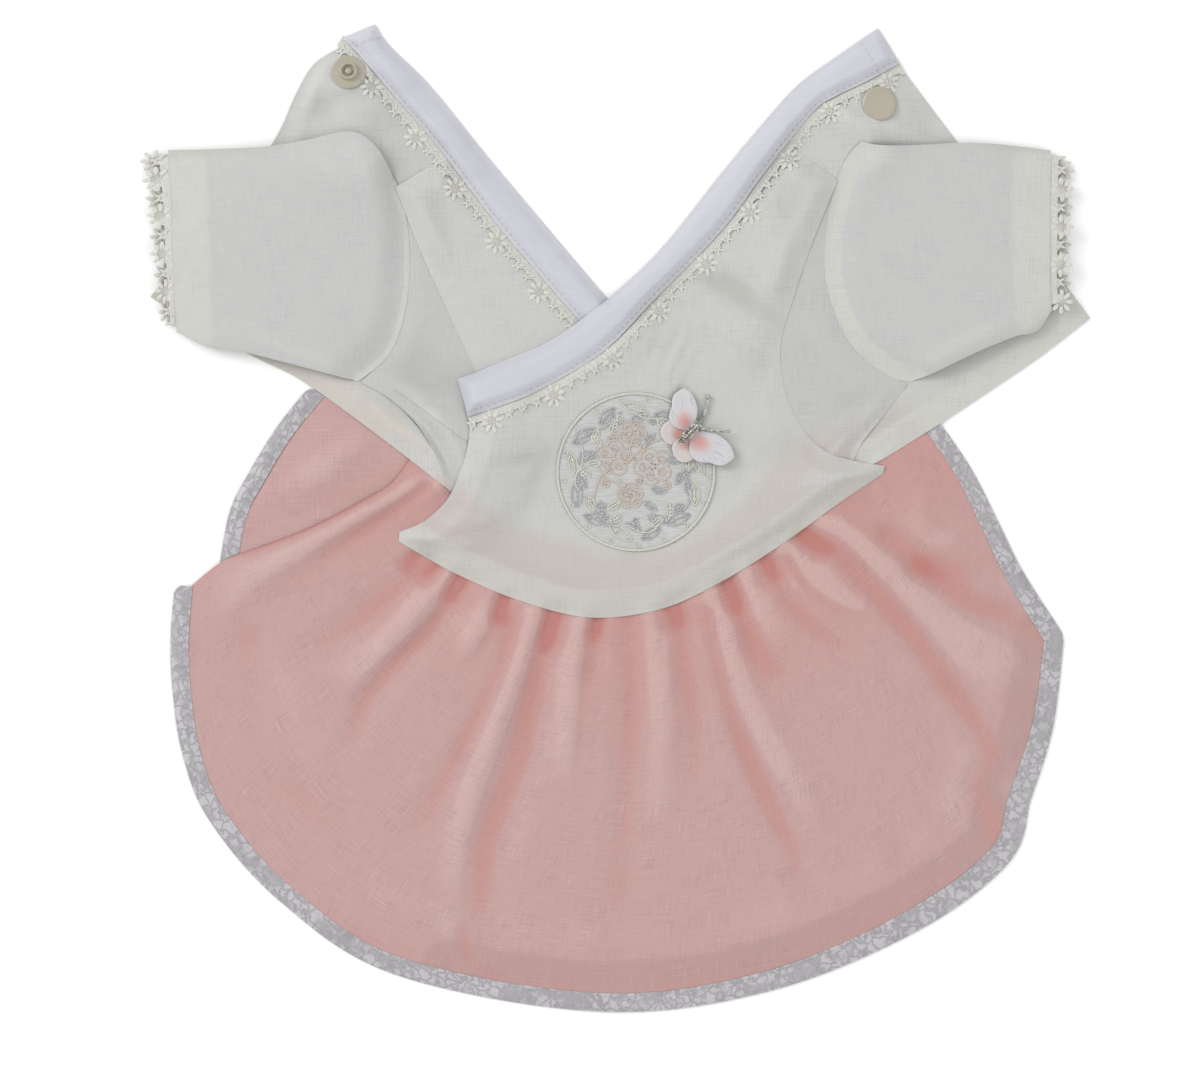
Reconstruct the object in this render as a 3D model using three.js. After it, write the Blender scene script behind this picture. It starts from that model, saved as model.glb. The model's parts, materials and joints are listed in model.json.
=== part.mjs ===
// A small dog's hanbok laid open on a flat surface, back upwards: a sheer ivory jeogori with crossed back
// panels, white collar bands, short sleeves and daisy lace, and a gathered pink skirt with a brocade hem.
// Millimetres. X runs to the right, Y towards the neck and Z up, from the surface that the cloth rests on.
import * as THREE from "three";
import { mergeVertices } from "three/addons/utils/BufferGeometryUtils.js";

// ---- Driving sizes ----
const CLOTH = 1.0; // wall of one layer of cloth
const GAP = 0.3; // between pieces that touch
const SLEEVE_HEIGHT = 4.8; // of a flattened sleeve at its cuff, over both of its layers
const SEAM_HEIGHT = 2.8; // and at the armhole
const COLLAR_WALL = 1.4; // a folded, faced band
const COLLAR_CROWN = 0.5; // how far the band's middle stands above its edges
const BAND_WALL = 1.2; // brocade, folded round the skirt's edge
const SNAP_RADIUS = 6.15;
const MEDALLION_RADIUS = 28.3;
const LACE_WALL = 0.9;
const LACE_REPEAT = 24.4; // from daisy to daisy
const DAISY_RADIUS = 4.6;
const RING_RADIUS = 2.3; // three small rings stand between two daisies
const LACE_RIBBON = 3.0; // the narrow strip that carries them

// The outlines are measured from a point by the back's middle; this moves their box's middle to the origin.
const CENTRE = [0.29, -0.19];

const IVORY = { color: 0xd9dbd0, roughness: 0.85 };
const WHITE = { color: 0xdedde8, roughness: 0.8 };
const PINK = { color: 0xe0a9a4, roughness: 0.8 };
const SILVER = { color: 0xb9b8c0, roughness: 0.45, metalness: 0.2 };
const LACE = { color: 0xd8d8cc, roughness: 0.9 };
const PLASTIC = { color: 0xc9bba6, roughness: 0.4 };
const PATCH = { color: 0xd6d6d2, roughness: 0.7 };
const WING = { color: 0xe8dfe0, roughness: 0.8 };
const METAL = { color: 0xb7b3a4, roughness: 0.4, metalness: 0.8 };

// ---- Outlines: points [x, y] that a smooth line passes through; each inner list ends at a corner ----
const NECK_TIE_LEFT = [-97, 168.5];
const SHOULDER_LEFT = [-78.8, 118];
const SHOULDER_RIGHT = [78.5, 120.3];
const UNDERARM_LEFT = [-91, 48.5];
const UNDERARM_RIGHT = [103.3, 48];
const WAIST_LEFT = [-60.5, 11];
const WAIST_RIGHT = [83, 18];

const ARMHOLE_LEFT = [UNDERARM_LEFT, [-81.5, 60], [-76.3, 78], [-75.6, 101], SHOULDER_LEFT];
const ARMHOLE_RIGHT = [UNDERARM_RIGHT, [96, 52], [84, 63], [76.3, 81], [75, 98], SHOULDER_RIGHT];
const SIDE_LEFT = [WAIST_LEFT, [-63, 20], [-70, 32.3], [-80, 42.2], UNDERARM_LEFT];
const SIDE_RIGHT = [WAIST_RIGHT, [87, 27], [95, 37], UNDERARM_RIGHT];

const BELLY_LEFT = {
  bottom: [[[-166, 79], [-131.7, 59], [-112.5, 49.3], [-87, 31], [-61, 11]]],
  right: [SIDE_LEFT, ARMHOLE_LEFT, [SHOULDER_LEFT, [-68, 125]]],
  top: [[NECK_TIE_LEFT, [-87, 156.6], [-77, 141.5], [-68, 125]]],
  left: [[[-166, 79], [-144.5, 105.5], [-123, 133], [-114, 151.5], [-107.5, 162], NECK_TIE_LEFT]],
};
const BELLY_RIGHT = {
  bottom: [[WAIST_RIGHT, [92, 20], [116.5, 35], [137, 48.6], [151, 58.2], [168.3, 71.5]]],
  right: [[[168.3, 71.5], [159.4, 83.5], [120.7, 134.5], [100, 162]]],
  top: [[[62, 131], [71, 145], [84, 154.5], [100, 162]]],
  left: [SIDE_RIGHT, ARMHOLE_RIGHT, [SHOULDER_RIGHT, [62, 131]]],
};
// The yoke is the layer of the back under the two crossed panels. The skirt hangs from its waist.
const YOKE = {
  bottom: [[WAIST_LEFT, [-34.5, -9], [-6, -19], [29.5, -16.5], [61.5, -0.5], WAIST_RIGHT]],
  right: [SIDE_RIGHT, ARMHOLE_RIGHT],
  top: [[SHOULDER_LEFT, [-68, 122]], [[-68, 122], [-38, 88], [-6, 58]], [[-6, 58], [24, 84], [62, 128]],
    [[62, 128], SHOULDER_RIGHT]],
  left: [SIDE_LEFT, ARMHOLE_LEFT],
};
const PANEL_UNDER = {
  bottom: [[[-42, 31], [-10, 36], [14, 50]]],
  right: [[[14, 50], [-7, 67], [-38, 98], [-66.5, 125.5]]],
  top: [[SHOULDER_LEFT, [-66.5, 125.5]]],
  left: [[[-42, 31], [-50.8, 53.2], [-62, 77.7], [-70.6, 97], SHOULDER_LEFT]],
};
const PANEL_OVER = {
  bottom: [[[-77.5, -8], [-57.5, -19.3], [-34.4, -29], [-9.6, -35], [15.5, -32], [36.6, -22.5], [58, -9.3],
    [79, 5.7], [94.4, 16]]],
  right: [[[94.4, 16], [95, 18.8]], [[95, 18.8], [83, 21], [73.8, 24.2], [65, 33.4], [59.3, 47.6], [58.2, 62],
    [62.5, 77.8], [69.6, 98.7], SHOULDER_RIGHT]],
  top: [[[-54, 43], [-27, 53], [-5, 66], [22.5, 90], [42, 112], [62, 132.5]], [[62, 132.5], SHOULDER_RIGHT]],
  left: [[[-77.5, -8], [-77.3, -4.6]], [[-77.3, -4.6], [-68, -0.4], [-59.3, 8.5], [-53.6, 22.7], [-52.3, 34],
    [-54, 43]]],
};
const SLEEVE_LEFT = {
  bottom: [[[-156.2, 66.4], [-145.2, 61], [-133, 59.3], [-117.5, 55.4], [-92.2, 48.8]]],
  right: [[[-92.2, 48.8], [-82.6, 60.4], [-77.3, 78], [-76.6, 101], [-79.8, 117.6]]],
  top: [[[-159.4, 131], [-126, 132], [-109, 134.3], [-94, 137], [-86, 130.5], [-79.8, 117.6]]],
  left: [[[-156.2, 66.4], [-157.3, 92], [-158, 113], [-159.4, 131]]],
};
const SLEEVE_RIGHT = {
  bottom: [[[104.4, 48.6], [113.2, 52.2], [127.4, 59], [141, 64.6], [149, 66.6], [154.2, 74]]],
  right: [[[154.2, 74], [153.4, 85], [153.4, 106], [154, 131]]],
  top: [[[86.6, 134], [97, 132.3], [121.8, 133.5], [136, 133], [154, 131]]],
  left: [[[104.4, 48.6], [96.8, 53], [85.1, 63.6], [77.4, 81.3], [76.1, 98], [78.5, 115], [82, 126.4], [86.6, 134]]],
};
const COLLAR_RIGHT = {
  inner: [[-56.8, 50], [-49.7, 52.3], [-36, 58], [-22.7, 64], [-2.8, 78.5], [16.3, 96.6], [37, 122.5], [55.4, 144.5],
    [65.3, 155], [79.2, 165], [93, 174.6]],
  outer: [[-52.9, 36.2], [-41.2, 40], [-28, 45.5], [-5, 59.3], [13.8, 78.5], [37, 102.3], [53.2, 124.2],
    [69.6, 144.5], [77.4, 150], [88, 155], [100.5, 162]],
};
const COLLAR_LEFT = {
  inner: [[4, 69.5], [-3.2, 78], [-24, 102.6], [-47.2, 130.3], [-66.4, 154], [-81, 168.5], [-86, 176]],
  outer: [[-8, 64.5], [-21.7, 80], [-43.3, 105.5], [-63.2, 131.7], [-80.2, 151.6], [-94, 167.5], [-98, 170.8]],
};
const SKIRT = {
  bottom: [[[-151.6, -24], [-153, -43], [-152.3, -60.7], [-149, -82], [-140.2, -104], [-116, -131.7], [-77, -156.6],
    [-6, -169.3], [51, -162], [100.5, -141.6], [133, -118.2], [140.2, -98], [148.4, -73], [152.7, -43]]],
  right: [[[152.7, -43], [139.5, -21.7], [130.6, -3.2], [121.8, 14.6], [112, 29.5]]],
  top: [[[-75.3, 19.2], [-60.3, 9.6], [-34.4, -11.7], [-6, -24.5], [26, -21.7], [58, -7.5], [82.7, 9.6], [112, 29.5]]],
  left: [[[-151.6, -24], [-140.6, -15.3], [-127, -9.2], [-116, -4], [-105.4, 4], [-91.2, 11.7], [-75.3, 19.2]]],
};
// The stretch of skirt that lies behind the big fold at the left, with its own length of hem.
const SKIRT_SIDE = {
  bottom: [[[-137, -26], [-118, -20], [-100, -8], [-78, 8]]],
  right: [[[-78, 8], [-66, 18]]],
  top: [[[-104.7, 44], [-86, 32.5], [-66, 18]]],
  left: [[[-137, -26], [-132.8, -0.4], [-126, 13.8], [-116, 30], [-104.7, 44]]],
};

// ---- Folds: crests [x, y] from where each begins, its height, and the width of its soft and steep flanks ----
const GATHERS = [
  { crest: [[-70, 13], [-88, 1], [-106, -11], [-128, -24], [-146, -32]], height: 6.0, soft: 13, steep: 6 },
  { crest: [[-57, -20], [-70, -38], [-84, -55], [-101, -82], [-118, -114]], height: 3.6, soft: 13, steep: 5 },
  { crest: [[-41, -28], [-45, -40], [-47, -54]], height: 2.2, soft: 6, steep: 4 },
  { crest: [[-25, -33], [-31, -52], [-39, -76], [-47, -106], [-50, -148]], height: 3.6, soft: 10, steep: 4 },
  { crest: [[-9, -34], [-14, -52], [-18, -72], [-20, -102]], height: 2.8, soft: 7, steep: 4 },
  { crest: [[9, -34], [10, -60], [11, -106]], height: 1.6, soft: 8, steep: 7 },
  { crest: [[15, -32], [18, -48], [20, -62], [21, -86]], height: 2.6, soft: 7, steep: 4 },
  { crest: [[36, -24], [40, -46], [45, -66], [56, -96], [66, -122], [78, -146]], height: 3.4, soft: 9, steep: 5 },
  { crest: [[52, -14], [56, -32], [64, -52], [82, -86], [96, -116]], height: 2.8, soft: 8, steep: 5 },
  { crest: [[67, -6], [74, -26], [92, -52], [108, -84]], height: 2.6, soft: 8, steep: 6 },
  { crest: [[81, 4], [93, -20], [111, -48], [128, -82], [134, -112]], height: 3.6, soft: 10, steep: 6 },
  { crest: [[98, 16], [113, -6], [128, -24], [149, -41]], height: 3.2, soft: 11, steep: 8 },
];
const SIDE_SWELLS = [{ crest: [[-96, 26], [-112, 10], [-126, -6]], height: 1.6, soft: 10, steep: 10 }];
const BELLY_LEFT_SWELLS = [
  { crest: [[-92, 130], [-100, 140], [-104, 146]], height: 5.0, soft: 13, steep: 13 },
  { crest: [[-104, 162], [-111, 148], [-116, 132]], height: 2.0, soft: 5, steep: 5 },
];
const BELLY_RIGHT_SWELLS = [{ crest: [[76, 146], [84, 138], [96, 134]], height: 2.6, soft: 7, steep: 6 }];
const YOKE_SWELLS = [
  { crest: [[-84, 45], [-74, 37], [-66, 26], [-61, 14]], height: 2.2, soft: 5, steep: 5 },
  { crest: [[97, 40], [90, 31], [84, 22]], height: 1.8, soft: 5, steep: 5 },
];
const OVER_SWELLS = [
  { crest: [[62, 112], [52, 92], [44, 60]], height: 1.6, soft: 12, steep: 12 },
  { crest: [[92, 19], [72, 10], [52, 2], [30, -12]], height: 1.8, soft: 9, steep: 9 },
];
const SLEEVE_LEFT_SWELLS = [
  { crest: [[-90, 132], [-83, 122], [-79, 108]], height: 1.8, soft: 6, steep: 8 },
  { crest: [[-150, 66], [-130, 64], [-104, 57]], height: 1.4, soft: 9, steep: 9 },
];
const SLEEVE_RIGHT_SWELLS = [{ crest: [[108, 54], [126, 63], [147, 72]], height: 2.4, soft: 10, steep: 10 }];

// ---- Lines and plans ----

// Evenly spaced points along smooth stretches that meet at corners; each corner is one of the points.
function edge(stretches, steps) {
  const curves = stretches.map((points) => new THREE.SplineCurve(points.map(([x, y]) => new THREE.Vector2(x, y))));
  const lengths = curves.map((curve) => curve.getLength());
  const whole = lengths.reduce((sum, length) => sum + length, 0);
  let left = steps;
  const points = [curves[0].getPoint(0)];
  curves.forEach((curve, k) => {
    const last = k === curves.length - 1;
    const share = last ? left : Math.max(1, Math.round((steps * lengths[k]) / whole));
    left -= share;
    points.push(...curve.getSpacedPoints(share).slice(1));
  });
  return points;
}

// A four-sided plan filled from its edges. Bottom and top run one way, and left and right from bottom to top.
function plan({ bottom, right, top, left }, across, up) {
  const [b, t, l, r] = [edge(bottom, across), edge(top, across), edge(left, up), edge(right, up)];
  const mix = (p, q, s) => p.clone().lerp(q, s);
  return l.map((_, j) => b.map((_, i) => {
    const [u, v] = [i / across, j / up];
    const corners = mix(mix(b[0], b[across], u), mix(t[0], t[across], u), v);
    return mix(b[i], t[i], v).add(mix(l[j], r[j], u)).sub(corners);
  }));
}

// A plan between two lines that run side by side.
function ribbon(inner, outer, along, across) {
  const rows = [];
  for (let j = 0; j <= across; j++) rows.push(inner.map((p, i) => p.clone().lerp(outer[i], j / across)));
  return rows;
}

// The same line moved sideways, to the left of its own direction, by a distance that may vary along it.
function beside(line, distance) {
  const last = line.length - 1;
  return line.map((p, i) => {
    const before = p.clone().sub(line[Math.max(i - 1, 0)]).normalize();
    const after = line[Math.min(i + 1, last)].clone().sub(p).normalize();
    const way = before.add(after).normalize();
    const bend = Math.max(0.7, Math.abs(way.dot(i < last ? after : way)));
    return new THREE.Vector2(-way.y, way.x).multiplyScalar(distance(i / last) / bend).add(p);
  });
}

// ---- Heights ----

// How far the folds lift the cloth at a point. Each falls off on either side of its crest, which rises from
// a low start and runs out to nothing at its end.
function relief(folds) {
  const crests = folds.map((fold) => ({ ...fold, line: edge([fold.crest], 24) }));
  return (p) => {
    const lifts = crests.map(({ line, height, soft, steep, start = 0.6 }) => {
      let near = 0;
      line.forEach((q, k) => {
        if (q.distanceToSquared(p) < line[near].distanceToSquared(p)) near = k;
      });
      const [a, b] = [line[Math.max(near - 1, 0)], line[Math.min(near + 1, line.length - 1)]];
      const side = (b.x - a.x) * (p.y - line[near].y) - (b.y - a.y) * (p.x - line[near].x);
      const share = near / (line.length - 1);
      const off = line[near].distanceTo(p) / ((side > 0 ? steep : soft) * (1 + 0.6 * share));
      const rise = start + (1 - start) * Math.min(1, share / 0.3);
      return height * rise * Math.cos((Math.PI / 2) * share ** 1.5) * Math.exp(-off * off);
    });
    const lift = lifts.reduce((sum, one) => sum + one, 0);
    return lift < 0.05 ? 0 : lift;
  };
}

// The pile of cloth laid so far, as heights on square cells.
const pile = {
  cell: 2,
  half: 100, // cells each way from the origin
  reach: 7, // a sheet stays at full height this far past an edge beneath it
  fall: 0.42, // and then falls away at this slope
  heights: new Float32Array(201 * 201),
  at(ix, iy) {
    return ix * 201 + iy;
  },
  // The lowest that a sheet may lie at a point.
  under(p, reach = this.reach) {
    const [cx, cy] = [Math.round(p.x / this.cell) + this.half, Math.round(p.y / this.cell) + this.half];
    const span = 16;
    let top = 0;
    for (let ix = Math.max(cx - span, 0); ix <= Math.min(cx + span, 200); ix++)
      for (let iy = Math.max(cy - span, 0); iy <= Math.min(cy + span, 200); iy++) {
        const height = this.heights[this.at(ix, iy)];
        const far = Math.hypot(ix - cx, iy - cy) * this.cell - reach;
        if (height) top = Math.max(top, height + GAP - this.fall * Math.max(far, 0));
      }
    return top;
  },
  // Adds a solid's faces to the pile.
  cover(geometry) {
    const { position } = geometry.attributes;
    const index = geometry.index.array;
    const [a, b, c, p] = [0, 1, 2, 3].map(() => new THREE.Vector3());
    for (let k = 0; k < index.length; k += 3) {
      [a, b, c].forEach((v, n) => v.fromBufferAttribute(position, index[k + n]));
      const steps = Math.ceil(Math.max(a.distanceTo(b), b.distanceTo(c), c.distanceTo(a)) / 1.4);
      for (let i = 0; i <= steps; i++)
        for (let j = 0; i + j <= steps; j++) {
          p.copy(a).addScaledVector(b.clone().sub(a), i / steps).addScaledVector(c.clone().sub(a), j / steps);
          const cell = this.at(Math.round(p.x / this.cell) + this.half, Math.round(p.y / this.cell) + this.half);
          this.heights[cell] = Math.max(this.heights[cell], p.z);
        }
    }
  },
};

// ---- Solids ----

// A closed wall between two grids of points of the same shape, one above the other.
function wall(lower, upper) {
  const [rows, columns] = [upper.length, upper[0].length];
  const points = [...upper.flat(), ...lower.flat()];
  const [over, under] = [(j, i) => j * columns + i, (j, i) => rows * columns + j * columns + i];
  const faces = [];
  const quad = (a, b, c, d) => faces.push(a, b, c, a, c, d);
  for (let j = 0; j + 1 < rows; j++)
    for (let i = 0; i + 1 < columns; i++) {
      quad(over(j, i), over(j, i + 1), over(j + 1, i + 1), over(j + 1, i));
      quad(under(j, i), under(j + 1, i), under(j + 1, i + 1), under(j, i + 1));
    }
  for (let i = 0; i + 1 < columns; i++) {
    quad(under(0, i), under(0, i + 1), over(0, i + 1), over(0, i));
    quad(under(rows - 1, i + 1), under(rows - 1, i), over(rows - 1, i), over(rows - 1, i + 1));
  }
  for (let j = 0; j + 1 < rows; j++) {
    quad(under(j + 1, 0), under(j, 0), over(j, 0), over(j + 1, 0));
    quad(under(j, columns - 1), under(j + 1, columns - 1), over(j + 1, columns - 1), over(j, columns - 1));
  }
  return solid(points, faces);
}

// A closed tube wall through rings of points, each an outer and an inner loop, with both ends open.
function tube(rings) {
  const around = rings[0].outer.length;
  const points = rings.flatMap(({ outer, inner }) => [...outer, ...inner]);
  const [out, inn] = [(k, i) => 2 * around * k + (i % around), (k, i) => 2 * around * k + around + (i % around)];
  const faces = [];
  const quad = (a, b, c, d) => faces.push(a, b, c, a, c, d);
  const last = rings.length - 1;
  for (let i = 0; i < around; i++) {
    for (let k = 0; k < last; k++) {
      quad(out(k, i), out(k, i + 1), out(k + 1, i + 1), out(k + 1, i));
      quad(inn(k, i), inn(k + 1, i), inn(k + 1, i + 1), inn(k, i + 1));
    }
    quad(inn(0, i), inn(0, i + 1), out(0, i + 1), out(0, i));
    quad(out(last, i), out(last, i + 1), inn(last, i + 1), inn(last, i));
  }
  return solid(points, faces);
}

// Points and faces as a geometry, turned round if its faces point inwards.
function solid(points, faces) {
  const volume = faces.reduce((sum, _, k) => k % 3 ? sum
    : sum + points[faces[k]].dot(points[faces[k + 1]].clone().cross(points[faces[k + 2]])), 0);
  return new THREE.BufferGeometry()
    .setFromPoints(points)
    .setIndex(volume > 0 ? faces : faces.toReversed());
}

// A sheet on the pile: its underside rests on what lies beneath, lifted by its folds.
function sheet(grid, { thick = CLOTH, lift = () => 0, crown = () => 0 } = {}) {
  const lower = grid.map((row) => row.map((p) => new THREE.Vector3(p.x, p.y, pile.under(p) + lift(p))));
  const upper = lower.map((row, j) => row.map((p, i) => p.clone().setZ(p.z + thick + crown(j, i))));
  return wall(lower, upper);
}

// A flattened sleeve: rings from end to end, each as wide as the plan's column there. It is fullest at its cuff.
function sleeve(grid, cuff, lift) {
  const sides = 16;
  const last = grid[0].length - 1;
  const columns = grid[0].map((_, i) => grid.map((row) => row[i]));
  const loop = (line, i, inset) => {
    const half = THREE.MathUtils.lerp(SLEEVE_HEIGHT, SEAM_HEIGHT, Math.abs(i / last - cuff)) / 2;
    const across = new THREE.CatmullRomCurve3(line.map((p) => new THREE.Vector3(p.x, p.y, 0)));
    const width = across.getLength();
    return Array.from({ length: sides }, (_, k) => {
      const turn = (2 * Math.PI * k) / sides;
      const share = 0.5 + Math.cos(turn) * (0.5 - inset / width);
      const p = across.getPointAt(share);
      const rise = Math.sign(Math.sin(turn)) * Math.abs(Math.sin(turn)) ** 0.5;
      return p.setZ(pile.under(p) + lift(p) + half + rise * (half - inset));
    });
  };
  return tube(columns.map((line, i) => ({ outer: loop(line, i, 0), inner: loop(line, i, CLOTH) })));
}

// A round piece, from its profile [radius, height].
function disc(profile, sides) {
  const round = new THREE.LatheGeometry(profile.map(([r, z]) => new THREE.Vector2(r, z)), sides);
  return round.rotateX(Math.PI / 2);
}

// A soft piece moulded to the pile, point by point.
function mould(geometry) {
  const { position } = geometry.attributes;
  const p = new THREE.Vector3();
  for (let k = 0; k < position.count; k++) {
    p.fromBufferAttribute(position, k);
    position.setZ(k, p.z + pile.under(p));
  }
  return geometry;
}

// How far a stiff piece has to rise to clear the pile everywhere.
function clearance({ attributes: { position } }) {
  const p = new THREE.Vector3();
  const levels = Array.from({ length: position.count }, (_, k) => {
    p.fromBufferAttribute(position, k);
    return pile.under(p, 3) - p.z;
  });
  return Math.max(...levels);
}

const perch = (geometry) => geometry.translate(0, 0, clearance(geometry));

// ---- The garment, piece by piece, from the surface upwards ----
const garment = new THREE.Group();

// Adds named solids that lie side by side, and then counts them into the pile.
function put(pieces) {
  for (const [name, geometry, look] of pieces) {
    const mesh = new THREE.Mesh(geometry, new THREE.MeshStandardMaterial(look));
    mesh.name = name;
    garment.add(mesh);
  }
  pieces.forEach(([, geometry]) => pile.cover(geometry));
}

// Skirt and hem. The hem band is made from the skirt's own edge points, moved out.
const gathers = relief(GATHERS);
const bandWidth = (share) => 5.8 + 1.8 * Math.exp(-(((share - 0.68) / 0.16) ** 2)) - 0.8 * share ** 6;

function hem(line, width, lift) {
  const [inner, outer] = [beside(line, () => -GAP), beside(line, (share) => -width(share))];
  return sheet(ribbon(inner, outer, line.length - 1, 1), { thick: BAND_WALL, lift });
}

function skirtSide() {
  const grid = plan(SKIRT_SIDE, 8, 10);
  const lift = relief(SIDE_SWELLS);
  const outerEdge = grid.map((row) => row[0]).toReversed();
  return [
    ["skirt_side", sheet(grid, { lift }), PINK],
    ["hem_band_side", hem(outerEdge, () => 5.6, lift), SILVER],
  ];
}

function skirt() {
  const grid = plan(SKIRT, 80, 8);
  const edgeLine = [...grid[0], ...grid.slice(1, -1).map((row) => row.at(-1))];
  return [
    ["skirt", sheet(grid, { lift: gathers }), PINK],
    ["hem_band", hem(edgeLine, bandWidth, gathers), SILVER],
  ];
}

// Snaps: a cap on one face of the cloth, and a socket or stud on the other.
const CAP = [[0, 0], [5.4, 0], [SNAP_RADIUS, 0.5], [5.9, 1.2], [5.2, 1.4], [3, 1.1], [0, 1]];
const SOCKET = [[0, 0], [SNAP_RADIUS, 0], [SNAP_RADIUS, 0.8], [3.4, 1.1], [3.2, 2.4], [2.3, 2.4], [2.1, 1.2],
  [1.4, 1.2], [1, 2], [0, 2.2]];
const SNAP_LEFT = [-95.2, 158.3];
const SNAP_RIGHT = [93, 147.3];

// Lace: a narrow ribbon whose outer edge swells into daisies and small rings.
function scallop(distance) {
  const along = ((distance % LACE_REPEAT) + LACE_REPEAT) % LACE_REPEAT;
  const motifs = [
    { at: 0, radius: DAISY_RADIUS }, { at: 1, radius: DAISY_RADIUS },
    ...[0.29, 0.5, 0.71].map((at) => ({ at, radius: RING_RADIUS })),
  ];
  const bulge = ({ at, radius }) => {
    const off = Math.abs(along - at * LACE_REPEAT);
    return off < radius ? LACE_RIBBON - 1 + radius * (0.4 + Math.sqrt(1 - (off / radius) ** 2)) : 0;
  };
  return Math.max(LACE_RIBBON, ...motifs.map(bulge));
}

// Lace along a line, growing to the left of its direction, its first daisy at a given distance.
function lace(line, start) {
  const step = line[0].distanceTo(line[1]);
  const last = line.length - 1;
  const outer = beside(line, (share) => scallop(share * last * step - start));
  return sheet(ribbon(line, outer, last, 1), { thick: LACE_WALL });
}

// A collar band with the lace along its outer edge; `way` is 1 where that edge has its lace on its left.
function collar(side, { inner, outer }, way, firstDaisy) {
  const [near, far] = [edge([inner], 34), edge([outer], 34)];
  const crown = (j) => COLLAR_CROWN * Math.sin((Math.PI * j) / 3);
  const steps = Math.round(new THREE.SplineCurve(far).getLength() / 2.3);
  const line = edge([outer], steps);
  if (way < 0) line.reverse();
  return [
    [`collar_${side}`, sheet(ribbon(near, far, 34, 3), { thick: COLLAR_WALL, crown }), WHITE],
    [`collar_lace_${side}`, lace(beside(line, () => GAP), firstDaisy), LACE],
  ];
}

// Lace at the mouth of a sleeve: one length on its upper layer and one on its lower.
function cuffLace(name, grid, outward, phase) {
  const column = grid.map((row) => row.at(outward > 0 ? -1 : 0));
  const line = edge([column.map((p) => [p.x + outward * GAP, p.y])], 28).slice(1, -1);
  if (outward > 0) line.reverse();
  return ["lower", "upper"].map((layer, k) => {
    const [level, shift] = [0.4 + k * (SLEEVE_HEIGHT - LACE_WALL - 0.8), k * 0.5 * LACE_REPEAT];
    const step = line[0].distanceTo(line[1]);
    const reach = (share) => 1.6 + scallop(share * (line.length - 1) * step - phase - shift);
    const ribbonGrid = ribbon(line, beside(line, reach), line.length - 1, 1);
    return [`${name}_${layer}`, sheet(ribbonGrid, { thick: LACE_WALL, lift: () => level }), LACE];
  });
}

put(skirtSide());
put(skirt());
put([
  ["snap_left_cap", perch(disc(CAP, 20).translate(...SNAP_LEFT, 0)), PLASTIC],
  ["snap_right_socket", perch(disc(SOCKET, 20).translate(...SNAP_RIGHT, 0)), PLASTIC],
]);
put([
  ["belly_panel_left", sheet(plan(BELLY_LEFT, 11, 15), { lift: relief(BELLY_LEFT_SWELLS) }), IVORY],
  ["belly_panel_right", sheet(plan(BELLY_RIGHT, 11, 15), { lift: relief(BELLY_RIGHT_SWELLS) }), IVORY],
]);
const sleeves = { left: plan(SLEEVE_LEFT, 8, 8), right: plan(SLEEVE_RIGHT, 8, 8) };
put([
  ["back_yoke", sheet(plan(YOKE, 18, 13), { lift: relief(YOKE_SWELLS) }), IVORY],
  ["sleeve_left", sleeve(sleeves.left, 0, relief(SLEEVE_LEFT_SWELLS)), IVORY],
  ["sleeve_right", sleeve(sleeves.right, 1, relief(SLEEVE_RIGHT_SWELLS)), IVORY],
  ...cuffLace("cuff_lace_left", sleeves.left, -1, 5),
  ...cuffLace("cuff_lace_right", sleeves.right, 1, 5),
]);
put([["back_panel_under", sheet(plan(PANEL_UNDER, 7, 12)), IVORY]]);
put(collar("left", COLLAR_LEFT, 1, 0.5));
put([["back_panel_over", sheet(plan(PANEL_OVER, 19, 14), { lift: relief(OVER_SWELLS) }), IVORY]]);
put(collar("right", COLLAR_RIGHT, -1, 9));

// The round patch: a satin ground with a cord round it.
const PATCH_PROFILE = [[0, 0], [10, 0], [20, 0], [MEDALLION_RADIUS, 0], [MEDALLION_RADIUS, 1.2],
  [MEDALLION_RADIUS - 0.8, 1.9], [MEDALLION_RADIUS - 1.9, 1.7], [MEDALLION_RADIUS - 2.6, 0.9], [20, 0.9],
  [10, 0.9], [0, 0.9]];
put([["medallion", mould(disc(PATCH_PROFILE, 32).translate(6.7, 16.7, 0)), PATCH]]);

// The butterfly above the patch: four wings, each cut from one outline, and two antennae in one plane, with
// its body lying on them. Its pieces are placed as [x, y] from its middle.
const WING_OUTLINE = [[0, -0.03], [0.25, 0.1], [0.55, 0.27], [0.85, 0.33], [1, 0.2], [0.95, 0], [0.75, -0.14],
  [0.45, -0.18], [0.15, -0.08]];
const WING_WALL = 0.8;
const WINGS = [
  { name: "hindwing_left", turn: 172, length: 9, flip: 1 },
  { name: "hindwing_right", turn: 258, length: 10.5, flip: -1 },
  { name: "forewing_left", turn: 93, length: 15, flip: 1 },
  { name: "forewing_right", turn: -32, length: 18, flip: -1 },
];
const ANTENNAE = {
  left: [[2.9, 2.6], [4.3, 4.8], [5.7, 7.7], [6.4, 10.5], [6.9, 13]],
  right: [[3.6, 2.4], [5.7, 1.4], [9.6, 0.8], [13.8, 0.6]],
};
const BODY = [[0, -4.4], [0.7, -4.1], [1.3, -2.4], [1.2, 0], [1.4, 1.2], [1.2, 2.6], [0.8, 3], [1, 3.8],
  [0.5, 4.5], [0, 4.6]];
const HEADING = THREE.MathUtils.degToRad(-45); // it flies towards the upper right
const BUTTERFLY = [25.6, 30.4];

const plain = (geometry) => mergeVertices(geometry.deleteAttribute("normal").deleteAttribute("uv"));

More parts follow.
